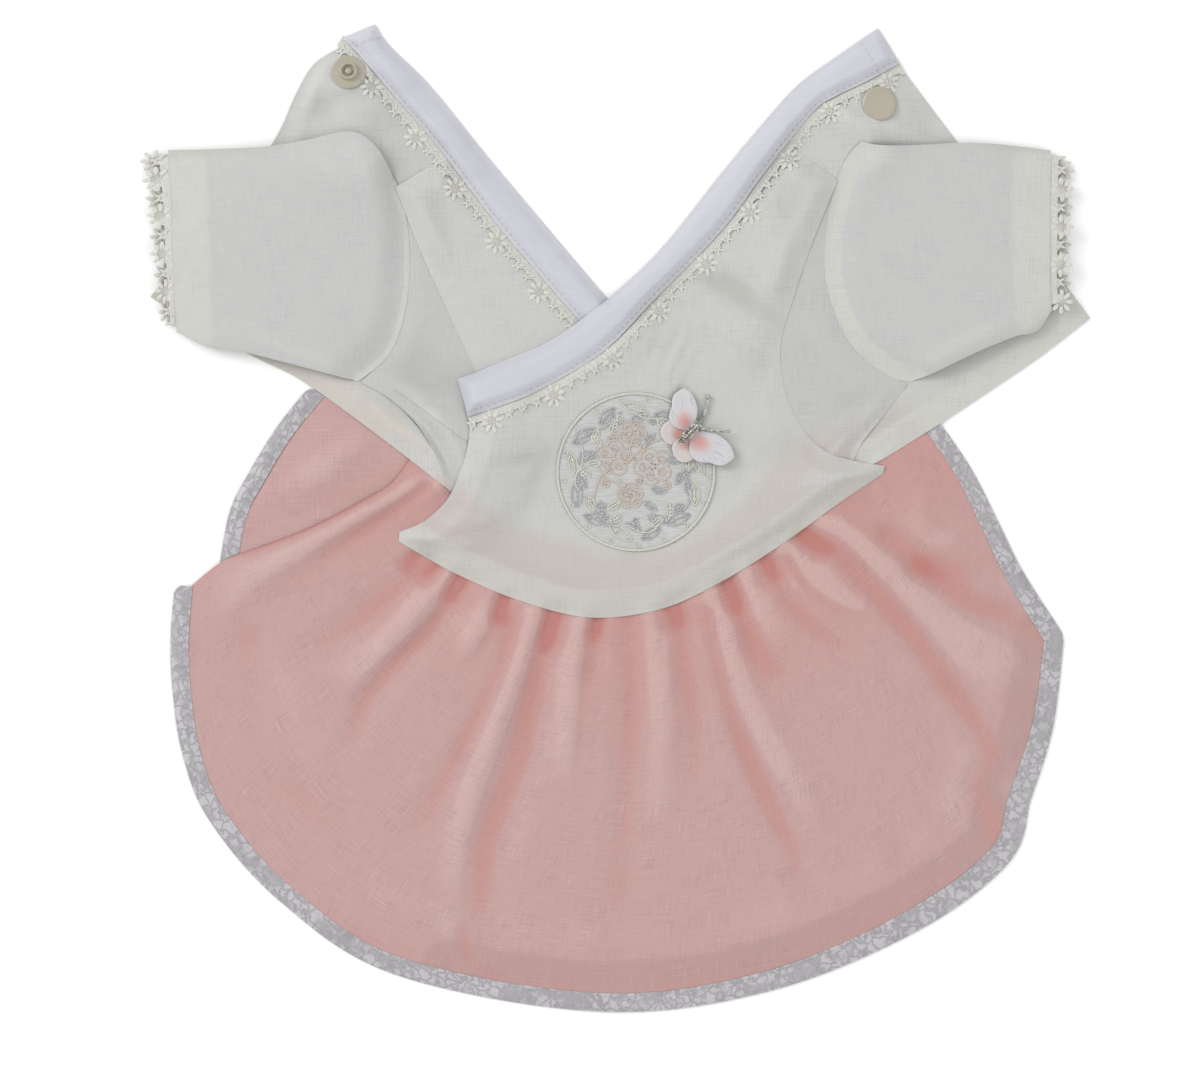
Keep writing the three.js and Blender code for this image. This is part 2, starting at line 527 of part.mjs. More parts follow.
function wing({ name, turn, length, flip }) {
  const outline = WING_OUTLINE.map(([x, y]) => new THREE.Vector2(x * length, y * length * flip));
  const shape = new THREE.Shape(new THREE.SplineCurve([...outline, outline[0]]).getPoints(18).slice(0, -1));
  const plate = new THREE.ExtrudeGeometry(shape, { depth: WING_WALL, bevelEnabled: false });
  return [name, plate.translate(0.8, 0, 0).rotateZ(THREE.MathUtils.degToRad(turn)), WING];
}

function antenna([side, points]) {
  const path = new THREE.CatmullRomCurve3(points.map(([x, y]) => new THREE.Vector3(x, y, WING_WALL / 2)));
  const round = new THREE.Shape().absarc(0, 0, 0.4, 0, 2 * Math.PI);
  const wire = new THREE.ExtrudeGeometry(round, { steps: 6, curveSegments: 3, bevelEnabled: false, extrudePath: path });
  return [`antenna_${side}`, wire, METAL];
}

const body = new THREE.LatheGeometry(BODY.map(([r, y]) => new THREE.Vector2(r, y)), 10);
body.rotateZ(HEADING).translate(0, 0, WING_WALL + GAP + 1.4);
const butterfly = [...WINGS.map(wing), ...Object.entries(ANTENNAE).map(antenna), ["body", body, METAL]]
  .map(([name, geometry, look]) => [`butterfly_${name}`, plain(geometry.translate(...BUTTERFLY, 0)), look]);
const flight = Math.max(...butterfly.map(([, geometry]) => clearance(geometry)));
butterfly.forEach(([, geometry]) => geometry.translate(0, 0, flight));
put(butterfly);

const tilt = THREE.MathUtils.degToRad(-20); // the left socket lies on the slope of the fold by the neck
put([
  ["snap_left_socket", perch(disc(SOCKET, 20).rotateX(tilt).translate(...SNAP_LEFT, 0)), PLASTIC],
  ["snap_right_cap", perch(disc(CAP, 20).translate(...SNAP_RIGHT, 0)), PLASTIC],
]);

garment.position.set(...CENTRE, 0);
export default garment;
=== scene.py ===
# %% [markdown]
# # A small dog's hanbok, laid open with its back upwards
# The garment lies on a white table: a sheer ivory jeogori whose two back panels cross, white collar bands edged
# with daisy lace, short sleeves, and a gathered pink skirt with a silver brocade hem. Every piece of cloth is
# built the way it is cut: four edges are drawn as smooth lines, the sheet between them is filled in, and it is
# then laid on what is already there. All the tables below are in millimetres.

# %% Start: the solids that the cloth is laid on
import json
import math
import random

import bpy
import numpy as np
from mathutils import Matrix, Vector
from mathutils.bvhtree import BVHTree

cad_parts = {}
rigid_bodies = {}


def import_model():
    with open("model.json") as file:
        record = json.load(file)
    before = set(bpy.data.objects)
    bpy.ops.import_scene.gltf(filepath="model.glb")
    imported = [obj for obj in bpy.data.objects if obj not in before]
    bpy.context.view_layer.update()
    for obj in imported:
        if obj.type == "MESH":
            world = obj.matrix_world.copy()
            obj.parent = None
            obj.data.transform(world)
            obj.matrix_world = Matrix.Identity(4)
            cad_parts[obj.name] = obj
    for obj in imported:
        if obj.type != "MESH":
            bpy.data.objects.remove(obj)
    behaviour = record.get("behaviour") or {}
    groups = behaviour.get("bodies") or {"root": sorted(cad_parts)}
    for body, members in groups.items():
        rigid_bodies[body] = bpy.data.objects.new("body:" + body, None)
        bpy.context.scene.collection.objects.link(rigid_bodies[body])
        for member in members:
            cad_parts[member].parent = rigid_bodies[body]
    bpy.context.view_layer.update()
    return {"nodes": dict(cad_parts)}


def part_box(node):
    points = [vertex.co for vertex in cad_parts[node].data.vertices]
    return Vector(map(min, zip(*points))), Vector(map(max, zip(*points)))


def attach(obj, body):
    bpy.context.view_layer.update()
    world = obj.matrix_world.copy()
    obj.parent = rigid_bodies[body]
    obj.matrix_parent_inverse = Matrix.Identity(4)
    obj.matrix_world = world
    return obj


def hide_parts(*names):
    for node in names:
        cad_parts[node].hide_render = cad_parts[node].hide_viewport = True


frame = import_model()
random.seed(7)
MM = 0.001
MIDDLE = np.array([0.29, -0.19])  # the tables are measured from a point this far from the object's origin
print("solids:", len(frame["nodes"]))

# %% [markdown]
# ## Camera
# A garment that is laid flat is best seen from straight above. A long lens keeps its sides from leaning.
# With a 36 mm sensor and a 100 mm lens the camera hangs 1.18 m up, and 426 mm of table fit across the view.

# %% The camera
LENS_MM, SENSOR_MM = 100, 36
CAMERA_AT = (-0.00575, -0.00694, 1.186)

camera_data = bpy.data.cameras.new("camera")
camera_data.lens = LENS_MM
camera_data.sensor_width = SENSOR_MM
camera = bpy.data.objects.new("camera", camera_data)
camera.location = CAMERA_AT
bpy.context.scene.collection.objects.link(camera)
bpy.context.scene.camera = camera
print("camera height", camera.location.z)

# %% [markdown]
# ## Drawing edges
# A pattern cutter draws an edge as a smooth line through a few marks, and starts a new line at each corner.
# `smooth_line` does the same with a spline. Two edges that run side by side make a ribbon, and four edges that
# meet make a panel, which is filled by mixing the opposite edges.

# %% Lines, ribbons and panels
def smooth_line(marks, per_gap=24):
    """A spline through the marks, with this many points between two of them."""
    marks = np.asarray(marks, float)
    ends = np.vstack([marks[:1], marks, marks[-1:]])
    t = np.linspace(0, 1, per_gap, endpoint=False)[:, None]
    pieces = []
    for a, b, c, d in zip(ends, ends[1:], ends[2:], ends[3:]):
        v, w = (c - a) / 2, (d - b) / 2
        pieces.append((2 * b - 2 * c + v + w) * t**3 + (-3 * b + 3 * c - 2 * v - w) * t**2 + v * t + b)
    return np.vstack(pieces + [marks[-1:]])


def length_of(line):
    return float(np.linalg.norm(np.diff(line, axis=0), axis=1).sum())


def evenly(line, steps):
    """The same line, with its points at even distances."""
    far = np.concatenate([[0], np.cumsum(np.linalg.norm(np.diff(line, axis=0), axis=1))])
    at = np.linspace(0, far[-1], steps + 1)
    return np.stack([np.interp(at, far, line[:, k]) for k in range(line.shape[1])], 1)


def edge(stretches, steps):
    """One side of a panel: smooth stretches with a corner between them, cut into even steps."""
    lines = [smooth_line(marks) for marks in stretches]
    lengths = [length_of(line) for line in lines]
    left, points = steps, [lines[0][:1]]
    for k, line in enumerate(lines):
        share = left if k == len(lines) - 1 else max(1, round(steps * lengths[k] / sum(lengths)))
        left -= share
        points.append(evenly(line, share)[1:])
    return np.vstack(points)


def panel(cut, across, up):
    """The grid of points inside four edges, with this many squares across and up."""
    bottom, top = edge(cut["bottom"], across), edge(cut["top"], across)
    left, right = edge(cut["left"], up), edge(cut["right"], up)
    u, v = np.linspace(0, 1, across + 1)[None, :, None], np.linspace(0, 1, up + 1)[:, None, None]
    corners = (1 - v) * ((1 - u) * bottom[0] + u * bottom[-1]) + v * ((1 - u) * top[0] + u * top[-1])
    return (1 - v) * bottom[None] + v * top[None] + (1 - u) * left[:, None] + u * right[:, None] - corners


def ribbon(inner, outer, across):
    """The grid of points between two edges that run side by side."""
    v = np.linspace(0, 1, across + 1)[:, None, None]
    return (1 - v) * inner[None] + v * outer[None]


def sideways(line):
    """Unit steps to the left of a line's direction, at each of its points."""
    way = np.gradient(line, axis=0)
    way /= np.linalg.norm(way, axis=1)[:, None]
    return np.stack([-way[:, 1], way[:, 0]], 1)


def spun(points, turn):
    """Flat points, turned round the origin."""
    c, s = math.cos(turn), math.sin(turn)
    return np.asarray(points) @ np.array([[c, s], [-s, c]])


print("a smooth line through 3 marks has", len(smooth_line([[0, 0], [10, 4], [20, 0]])), "points")

# %% [markdown]
# ## Laying cloth
# Sheer cloth is about a tenth of a millimetre thick, but what the eye sees is how it lies: it follows what is
# under it, bridges the small steps, and settles at its edges. Each sheet here takes its height from the solid
# that it dresses, is softened so that no facet shows, gets its creases, and settles. A map of the heights laid
# so far, two squares to the millimetre, then keeps it clear of the cloth beneath.

# %% Heights
BELOW_ALL, ABOVE_ALL = -0.05, 0.05  # metres: a ray that starts here meets the solid from outside


def solid_faces(name):
    node = frame["nodes"][name]
    points = [node.matrix_world @ v.co for v in node.data.vertices]
    return BVHTree.FromPolygons(points, [list(p.vertices) for p in node.data.polygons])


def heights_on(tree, grid, from_below=False):
    """How high the solid's top (or its underside) lies at each point of a grid, in mm."""
    z = np.full(grid.shape[:2], np.nan)
    start, way = (BELOW_ALL, Vector((0, 0, 1))) if from_below else (ABOVE_ALL, Vector((0, 0, -1)))
    for at in np.ndindex(z.shape):
        x, y = (grid[at] + MIDDLE) * MM
        hit = tree.ray_cast(Vector((x, y, start)), way)[0]
        if hit is not None:
            z[at] = hit.z / MM
    while np.isnan(z).any():  # points just past the solid's edge take the height of their neighbours
        wide = np.pad(z, 1, constant_values=np.nan)
        near = np.stack([wide[:-2, 1:-1], wide[2:, 1:-1], wide[1:-1, :-2], wide[1:-1, 2:]])
        count = (~np.isnan(near)).sum(0)
        mean = np.where(count > 0, np.nansum(near, 0) / np.maximum(count, 1), np.nan)
        z = np.where(np.isnan(z), mean, z)
    return z


def soften(z, times):
    """Heights mixed with those of their neighbours, so many times over."""
    for _ in range(times):
        wide = np.pad(z, 1, mode="edge")
        z = (2 * z + wide[:-2, 1:-1] + wide[2:, 1:-1] + wide[1:-1, :-2] + wide[1:-1, 2:]) / 6
    return z


def step(x, start, end):
    """0 before the start, 1 after the end, and a smooth slope between."""
    t = np.clip((x - start) / (end - start), 0, 1)
    return t * t * (3 - 2 * t)


def distance_to(grid, line):
    """How far each point of a grid is from a line, in mm."""
    flat = grid.reshape(-1, 2)
    best = np.full(len(flat), 1e9)
    for a, b in zip(line[:-1], line[1:]):
        along = np.clip(((flat - a) @ (b - a)) / max((b - a) @ (b - a), 1e-12), 0, 1)
        best = np.minimum(best, np.linalg.norm(flat - a - along[:, None] * (b - a), axis=1))
    return best.reshape(grid.shape[:2])


def finer(values, times):
    """A grid of values with more points between them."""
    rows = np.linspace(0, values.shape[0] - 1, (values.shape[0] - 1) * times + 1)
    columns = np.linspace(0, values.shape[1] - 1, (values.shape[1] - 1) * times + 1)
    r, c = np.minimum(rows.astype(int), values.shape[0] - 2), np.minimum(columns.astype(int), values.shape[1] - 2)
    s, t = (rows - r)[:, None], (columns - c)[None]
    if values.ndim == 3:
        s, t = s[..., None], t[..., None]
    a, b = values[np.ix_(r, c)], values[np.ix_(r, c + 1)]
    d, e = values[np.ix_(r + 1, c)], values[np.ix_(r + 1, c + 1)]
    return (1 - s) * ((1 - t) * a + t * b) + s * ((1 - t) * d + t * e)


class HeightMap:
    """How high the cloth lies, in mm, on a map with two squares to the millimetre."""
    SIDE, PER_MM = 800, 2

    def __init__(self):
        self.cells = np.zeros((self.SIDE, self.SIDE))

    def cover(self, grid, z, times=5):
        """Raises the map to these heights. The grid is made finer first, so that no square is missed."""
        at = np.rint(finer(grid, times) * self.PER_MM + self.SIDE / 2).astype(int).clip(0, self.SIDE - 1)
        np.maximum.at(self.cells, (at[..., 0], at[..., 1]), finer(z, times))

    def read(self, points, spread=1):
        """The height at each point: the highest of the squares within `spread` of it."""
        best, side = self.cells, self.SIDE
        if spread:
            wide = np.pad(best, spread, mode="edge")
            best = np.max([wide[i:i + side, j:j + side] for i in range(2 * spread + 1)
                           for j in range(2 * spread + 1)], 0)
        at = np.clip(points * self.PER_MM + side / 2, 0, side - 1.001)
        i, j = at[..., 0].astype(int), at[..., 1].astype(int)
        s, t = at[..., 0] - i, at[..., 1] - j
        return ((1 - s) * ((1 - t) * best[i, j] + t * best[i, j + 1])
                + s * ((1 - t) * best[i + 1, j] + t * best[i + 1, j + 1]))


laid = HeightMap()  # the top of all the cloth so far
pink_under = HeightMap()  # 1 where there is pink cloth

# %% [markdown]
# ## Creases
# Each crease is a crest line with a height, a steep flank on its left and a soft flank on its right. Past the
# steep flank the cloth can drop into a shallow valley and come up again slowly, as it does beside a real gather.
# A crease rises from `start` of its height, dies out to `end` of it, and spreads on its way.

# %% Creases from a table
CREST_STEPS = 60
RISEN_AT = 0.3  # the share of its length at which a crease has its full height
VALLEY_REACH = 1.1  # how wide the valley beside a crease is, for a soft flank of 1


def creases(grid, table):
    """How much the creases of a table lift each point of a grid, in mm."""
    lift = np.zeros(grid.shape[:2])
    for fold in table:
        line = evenly(smooth_line(fold["crest"]), CREST_STEPS)
        start, end = fold.get("start", 0.6), fold.get("end", 0.0)
        flat = grid.reshape(-1, 2)
        best, share, side = np.full(len(flat), 1e9), np.zeros(len(flat)), np.ones(len(flat))
        for k, (a, b) in enumerate(zip(line[:-1], line[1:])):
            way = b - a
            along = np.clip(((flat - a) @ way) / (way @ way), 0, 1)
            off = flat - a - along[:, None] * way
            far = np.hypot(off[:, 0], off[:, 1])
            near = far < best
            best = np.where(near, far, best)
            share = np.where(near, (k + along) / CREST_STEPS, share)
            side = np.where(near, np.sign(way[0] * off[:, 1] - way[1] * off[:, 0]), side)
        wide = 1 + fold.get("spread", 0.6) * share
        soft, steep = fold["soft"] * wide, fold["steep"] * wide
        crest = np.where(side > 0, np.exp(-((best / steep) ** 2)), np.exp(-((best / soft) ** 2)))
        valley = np.exp(-((best / (VALLEY_REACH * soft)) ** 2))
        dip = np.where(side > 0, (1 - crest) * valley, 0) * fold.get("dip", 0.4)
        rise = start + (1 - start) * np.minimum(1, share / RISEN_AT)
        fade = end + (1 - end) * np.cos(np.pi / 2 * share**1.5)
        lift += (fold["height"] * rise * fade * (crest - dip)).reshape(lift.shape)
    return lift


print("a crest line has", CREST_STEPS, "steps")

# %% [markdown]
# ## A sheet as a thin closed shell
# A sheet with no thickness looks like paper and can't be 3-D printed or baked well. Each sheet is therefore a
# shell: the top skin, the same skin a little lower, and a rim that joins them. It also carries what its finish
# needs at each point: how far into the nearest hem it is, how much pink lies beneath it, and how deep it lies
# below the cloth around it, by which the finish paints shade into its valleys and a highlight onto its ridges.
# Its UV map is the flat cloth, in metres.

# %% Shells
EDGE_REACH = 3  # over so many mm the wall of a sheet thins out to its edge
EDGE_SHARE = 0.25  # of the wall is left there
AIR = 0.05  # between two sheets
HOLLOW_REACH, PINK_REACH = 60, 16  # how often the marks of a hollow and of the pink below are softened


def mesh_object(name, points, faces, smooth_angle=40):
    """A mesh from points in mm. Its corners up to this angle, in degrees, are shaded smooth."""
    mesh = bpy.data.meshes.new(name)
    mesh.from_pydata((np.asarray(points) * MM).tolist(), [], faces)
    obj = bpy.data.objects.new(name, mesh)
    bpy.context.scene.collection.objects.link(obj)
    bpy.ops.object.select_all(action="DESELECT")
    obj.select_set(True)
    bpy.context.view_layer.objects.active = obj
    bpy.ops.object.shade_smooth_by_angle(angle=math.radians(smooth_angle))
    obj.select_set(False)
    return obj


def skin_faces(rows, columns, first=0, flip=False):
    at = first + np.arange(rows * columns).reshape(rows, columns)
    a, b, c, d = at[:-1, :-1], at[:-1, 1:], at[1:, 1:], at[1:, :-1]
    return np.stack([a, d, c, b] if flip else [a, b, c, d], -1).reshape(-1, 4)


def rim_faces(rows, columns):
    at = np.arange(rows * columns).reshape(rows, columns)
    ring = np.concatenate([at[0, :-1], at[:-1, -1], at[-1, :0:-1], at[:0:-1, 0]])
    after = np.roll(ring, -1)
    low = rows * columns
    return np.stack([ring + low, after + low, after, ring], -1)


def turn_out(points, faces):
    """The same faces, all turned round if the volume inside them comes out below zero."""
    a, b, c = (points[faces[:, k]] for k in (0, 1, 2))
    if np.einsum("ij,ij->i", a, np.cross(b, c)).sum() < 0:
        faces = faces[:, ::-1]
    return faces


def write_marks(obj, marks, uv):
    """Writes what a finish reads: the marks and the flat cloth, given for one skin, on both skins of a shell."""
    for key, values in marks.items():
        layer = obj.data.attributes.new(key, "FLOAT", "POINT")
        layer.data.foreach_set("value", np.tile(values.ravel(), 2).astype(np.float32))
    corners = np.empty(len(obj.data.loops), int)
    obj.data.loops.foreach_get("vertex_index", corners)
    both = np.tile(uv.reshape(-1, 2) * MM, (2, 1))
    layer = obj.data.uv_layers.new(name="cloth")
    layer.data.foreach_set("uv", both[corners].astype(np.float32).ravel())


def shell(name, grid, top, wall, marks, uv):
    """A closed shell: its top skin lies at `top` over the grid, and its lower skin a wall below."""
    rows, columns = top.shape
    xy = (grid + MIDDLE).reshape(-1, 2)
    points = np.vstack([np.c_[xy, top.ravel()], np.c_[xy, (top - wall).ravel()]])
    faces = np.vstack([skin_faces(rows, columns), skin_faces(rows, columns, rows * columns, flip=True),
                       rim_faces(rows, columns)])
    a, b, d = grid[0, 0], grid[0, -1], grid[-1, 0]
    if (b - a)[0] * (d - a)[1] - (b - a)[1] * (d - a)[0] < 0:
        faces = faces[:, ::-1]
    obj = mesh_object(name, points, faces.tolist())
    write_marks(obj, marks, uv)
    return obj


def clear(grid, top, wall):
    """Raises a sheet where it would cut into the cloth beneath, and the cloth round that place with it."""
    need = np.maximum(laid.read(grid) + AIR + wall - top, 0)
    raise_by = need
    for _ in range(3):
        wide = np.pad(raise_by, 1, mode="edge")
        ring = [wide[:-2, 1:-1], wide[2:, 1:-1], wide[1:-1, :-2], wide[1:-1, 2:]]
        raise_by = np.maximum(raise_by, 0.75 * np.max(ring, 0))
    return top + np.maximum(soften(raise_by, 3), need)


def thinned(line):
    """Every fourth point of a line, and its last: enough to measure how far off it is."""
    return np.vstack([line[:-1:4], line[-1:]])


def hem_share(grid, hems):
    """How far each point is into the nearest hem: 0 at its edge, 1 at its sewing line, more beyond."""
    shares = [distance_to(grid, thinned(line)) / width for line, width in hems]
    return np.min(shares, 0) if shares else np.full(grid.shape[:2], 9.0)


def hollows(top, reach):
    """How deep each point lies below the cloth around it, in mm: above 0 in a valley, below 0 on a ridge."""
    return soften(top, reach) - top


def dress(obj, solid):
    """Puts a piece of cloth in the place of its solid, on the one body of the garment."""
    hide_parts(solid)
    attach(obj, "root")


def lay(name, solid, grid, folds=(), wall=0.22, droop=9, soften_by=8, sink=0.5, hems=(), uv=None, low=None,
        more=None, free=False, sewn=None):
    """Lays a sheet on what is there, and dresses `solid` with it.

    Its heights are those of the solid, or `low` where it is given, softened, sunk and creased by its folds. Over
    the last `droop` mm before its edge, the sheet comes down to rest on what is beneath it, but not at the side
    that is `sewn` to its neighbour. Its wall thins out to its edge, so that an edge of sheer cloth casts hardly
    any shadow line. A `free` sheet keeps its heights where no cloth carries it. `more` adds or replaces marks.
    """
    sides = {"bottom": grid[0], "right": grid[:, -1], "top": grid[-1], "left": grid[:, 0]}
    free_far = np.min([distance_to(grid, thinned(line)) for side, line in sides.items() if side != sewn], 0)
    far = np.minimum(free_far, distance_to(grid, thinned(sides[sewn]))) if sewn else free_far
    wall = wall * (EDGE_SHARE + (1 - EDGE_SHARE) * step(far, 0, EDGE_REACH))
    top = heights_on(solid_faces(solid), grid) if low is None else low
    top = soften(top, soften_by) - sink + creases(grid, folds)
    shape = top
    if droop:
        resting = soften(laid.read(grid), 4) + wall + AIR
        top = top - (top - resting) * (1 - step(free_far, -0.1 * droop, droop))
    top = top if free else clear(grid, top, wall)
    # the hollow mark is where the finish paints shade in the valleys and a highlight on the ridges
    marks = {"hem": hem_share(grid, hems), "pink": soften(pink_under.read(grid, 0), PINK_REACH),
             "hollow": hollows(shape, HOLLOW_REACH)}
    marks.update(more or {})
    laid.cover(grid, top)
    obj = shell(name, grid, top, wall, marks, grid if uv is None else uv)
    dress(obj, solid)
    return obj


# %% [markdown]
# ## Finishes
# The light is soft and even, so cloth is mostly its own colour. What makes it cloth is small:
# threads crossing at right angles, thicker slubs here and there, and a paler band where the seam allowance lies
# under the sheer cloth. The wave and noise textures read the piece's own UV map, so the threads follow the cloth.
# The organza also has painted shade in its valleys and a painted highlight on its ridges.

# %% Helpers for finishes
EXPOSURE = 1.22  # how bright a perfectly white cloth would come out in this light
WAVE = math.pi / 10  # the scale at which a wave texture has one band a metre


def tone(r, g, b):
    """The cloth's own colour, for one that comes out as this screen colour in this light."""
    def linear(c):
        c = c / 255
        return (c / 12.92 if c <= 0.04045 else ((c + 0.055) / 1.055) ** 2.4) * (1 / EXPOSURE)

    return (linear(r), linear(g), linear(b), 1)


class Finish:
    """A material under construction: its nodes, and shortcuts for the few kinds that cloth needs."""

    def __init__(self, name, roughness=0.8, sheen=0.0, metallic=0.0, coat=0.0):
        self.material = bpy.data.materials.new(name)
        self.material.use_nodes = True
        self.nodes, self.links = self.material.node_tree.nodes, self.material.node_tree.links
        self.shader = self.nodes["Principled BSDF"]
        self.shader.inputs["Roughness"].default_value = roughness
        self.shader.inputs["Sheen Weight"].default_value = sheen
        self.shader.inputs["Metallic"].default_value = metallic
        self.shader.inputs["Coat Weight"].default_value = coat
        self.place = self.nodes.new("ShaderNodeTexCoord")

    def add(self, kind, **settings):
        node = self.nodes.new(kind)
        for key, value in settings.items():
            setattr(node, key, value)
        return node

    def link(self, out, into):
        self.links.new(out, into)

    def mapped(self, source="UV", scale=(1, 1, 1), turn=0.0):
        node = self.add("ShaderNodeMapping")
        node.inputs["Scale"].default_value = scale
        node.inputs["Rotation"].default_value = (0, 0, turn)
        self.link(self.place.outputs[source], node.inputs["Vector"])
        return node.outputs["Vector"]

    def noise(self, vector, scale, detail=3.0):
        node = self.add("ShaderNodeTexNoise")
        node.inputs["Scale"].default_value = scale
        node.inputs["Detail"].default_value = detail
        self.link(vector, node.inputs["Vector"])
        return node.outputs["Fac"]

    def wave(self, vector, per_metre, direction, distortion=0.0):
        node = self.add("ShaderNodeTexWave", wave_type="BANDS", bands_direction=direction)
        node.inputs["Scale"].default_value = per_metre * WAVE
        node.inputs["Distortion"].default_value = distortion
        self.link(vector, node.inputs["Vector"])
        return node.outputs["Fac"]

    def mark(self, name):
        node = self.add("ShaderNodeAttribute", attribute_name=name)
        return node.outputs["Fac"]

    def maths(self, what, a, b):
        node = self.add("ShaderNodeMath", operation=what)
        for k, value in enumerate((a, b)):
            if isinstance(value, (int, float)):
                node.inputs[k].default_value = value
            else:
                self.link(value, node.inputs[k])
        return node.outputs[0]

    def between(self, value, low, high, out_low=0.0, out_high=1.0):
        """A smooth slope from out_low, where the value is low, to out_high, where it is high."""
        node = self.add("ShaderNodeMapRange", interpolation_type="SMOOTHSTEP")
        for key, number in (("From Min", low), ("From Max", high), ("To Min", out_low), ("To Max", out_high)):
            node.inputs[key].default_value = number
        self.link(value, node.inputs["Value"])
        return node.outputs["Result"]

    def mixed(self, factor, a, b):
        node = self.add("ShaderNodeMix", data_type="RGBA")
        for key, value in ((0, factor), (6, a), (7, b)):  # the sockets of the factor and of the two colours
            if isinstance(value, (int, float, tuple)):
                node.inputs[key].default_value = value
            else:
                self.link(value, node.inputs[key])
        return node.outputs[2]

    def bump(self, height, distance, strength=1.0):
        node = self.add("ShaderNodeBump")
        node.inputs["Strength"].default_value = strength
        node.inputs["Distance"].default_value = distance
        self.link(height, node.inputs["Height"])
        self.link(node.outputs["Normal"], self.shader.inputs["Normal"])

    def colour(self, out):
        self.link(out, self.shader.inputs["Base Color"])

    def weave(self, per_metre, turn=0.0):
        """Fine threads both ways, and the slubs of each way: thicker stretches of yarn, each about 0.5."""
        vector = self.mapped("UV", turn=turn)
        warp, weft = self.wave(vector, per_metre, "X", 0.4), self.wave(vector, per_metre, "Y", 0.4)
        threads = self.maths("MULTIPLY", self.maths("ADD", warp, weft), 0.5)
        slub_a = self.noise(self.mapped("UV", (110, 1500, 1), turn), 1.0)
        slub_b = self.noise(self.mapped("UV", (1500, 110, 1), turn), 1.0)
        return threads, slub_a, slub_b


def paint(obj, *finishes):
    for finish in finishes:
        obj.data.materials.append(finish.material)


print("white cloth comes out at", EXPOSURE)

# %% [markdown]
# ## Sheer ivory organza
# Organza is a thin plain weave of stiff yarn. Over the table it looks a cool ivory, over the pink skirt it warms,
# and where the seam allowance doubles it, it is paler and a little yellower. The finish mixes those three by the
# marks on each sheet. It also paints shade into the valleys of a sheet and a highlight onto its ridges, by how deep
# the sheet lies below the cloth around it. In the pink, the deepest hollows get the darkest painted shade, which
# also stands for the deeper colour of cloth that the gathers double.

# %% Ivory and pink organza
def organza(name, body, doubled, under, valley, ridge, yarn, turn=0.0, deep=None):
    """Sheer cloth, by its colours: its own, where a hem doubles it, over pink, painted shade for a valley, a painted
    highlight for a ridge, its yarn. `deep` is painted shade for the deepest hollows.
    """
    f = Finish(name, roughness=0.85, sheen=0.15)
    threads, slub_a, slub_b = f.weave(1500, turn)
    wander = f.maths("MULTIPLY", f.maths("SUBTRACT", f.noise(f.mapped("UV"), 60), 0.5), 0.2)
    doubling = f.between(f.maths("ADD", f.mark("hem"), wander), 0.88, 1.12, 1.0, 0.0)
    base = f.mixed(doubling, body, doubled)
    base = f.mixed(f.maths("MULTIPLY", f.mark("pink"), f.between(doubling, 0, 1, 0.9, 0.45)), base, under)
    cloud = f.noise(f.mapped("Object"), 26)
    hollow = f.maths("ADD", f.mark("hollow"), f.maths("MULTIPLY", f.maths("SUBTRACT", cloud, 0.5), 0.7))
    # painted shade in the valleys and, darker, in the deepest hollows (in the pink partly the deeper colour of
    # doubled cloth), then a painted highlight on the ridges
    base = f.mixed(f.between(hollow, 0.05, 0.9, 0.0, 0.85), base, valley)
    base = f.mixed(f.between(hollow, 0.8, 2.2, 0.0, 0.8), base, deep or valley)
    base = f.mixed(f.between(hollow, -0.8, -0.05, 0.7, 0.0), base, ridge)
    patchy = f.between(f.noise(f.mapped("UV"), 70, 1.0), 0.35, 0.7, 0.45, 1.0)
    dark = f.maths("ADD", f.between(slub_a, 0.47, 0.7), f.between(slub_b, 0.47, 0.7))
    pale = f.maths("MAXIMUM", f.between(slub_a, 0.4, 0.26), f.between(slub_b, 0.4, 0.26))
    base = f.mixed(f.maths("MULTIPLY", f.maths("MULTIPLY", dark, patchy), 0.3), base, yarn)
    base = f.mixed(f.maths("MULTIPLY", f.maths("MULTIPLY", pale, patchy), 0.2), base, tone(226, 221, 219))
    f.colour(f.mixed(f.maths("MULTIPLY", threads, 0.06), base, tone(120, 118, 122)))
    f.bump(f.maths("ADD", threads, slub_a), 0.00008, 0.6)
    return f


# the fifth and sixth colours of each are painted shade for the valleys and a painted highlight for the ridges; the
# pink's deep colour is painted shade for its deepest hollows
ivory = organza("ivory organza", tone(203, 204, 199), tone(208, 210, 201), tone(198, 187, 182), tone(187, 188, 181),
                tone(207, 208, 204), tone(176, 177, 183))
belly_ivory = organza("ivory organza over rose", tone(200, 201, 196), tone(207, 201, 192), tone(205, 193, 184),
                      tone(189, 189, 182), tone(207, 208, 204), tone(176, 177, 183))
yoke_ivory = organza("single ivory organza", tone(196, 197, 193), tone(204, 206, 198), tone(196, 186, 181),
                     tone(184, 185, 179), tone(204, 205, 201), tone(172, 173, 180))
cuff_ivory = organza("ivory organza of the sleeves", tone(199, 200, 197), tone(206, 208, 200), tone(199, 190, 185),
                     tone(190, 191, 184), tone(206, 207, 204), tone(178, 179, 186), 0.1)
pink = organza("pink organza", tone(199, 162, 158), tone(190, 154, 150), tone(205, 146, 139), tone(200, 147, 139),
               tone(213, 180, 175), tone(166, 134, 144), deep=tone(194, 122, 113))
print("organza:", ivory.material.name, "and", pink.material.name)

# %% [markdown]
# ## Small repeated things
# A stitch, a petal and a bead are each modelled once and then copied. `modelled` keeps the points and faces of
# one piece, `moved` gives a copy its own size, turn and place, `joined` makes many copies one model, `moulded`
# lets it follow the cloth beneath, and `made` turns it into a piece of the garment.

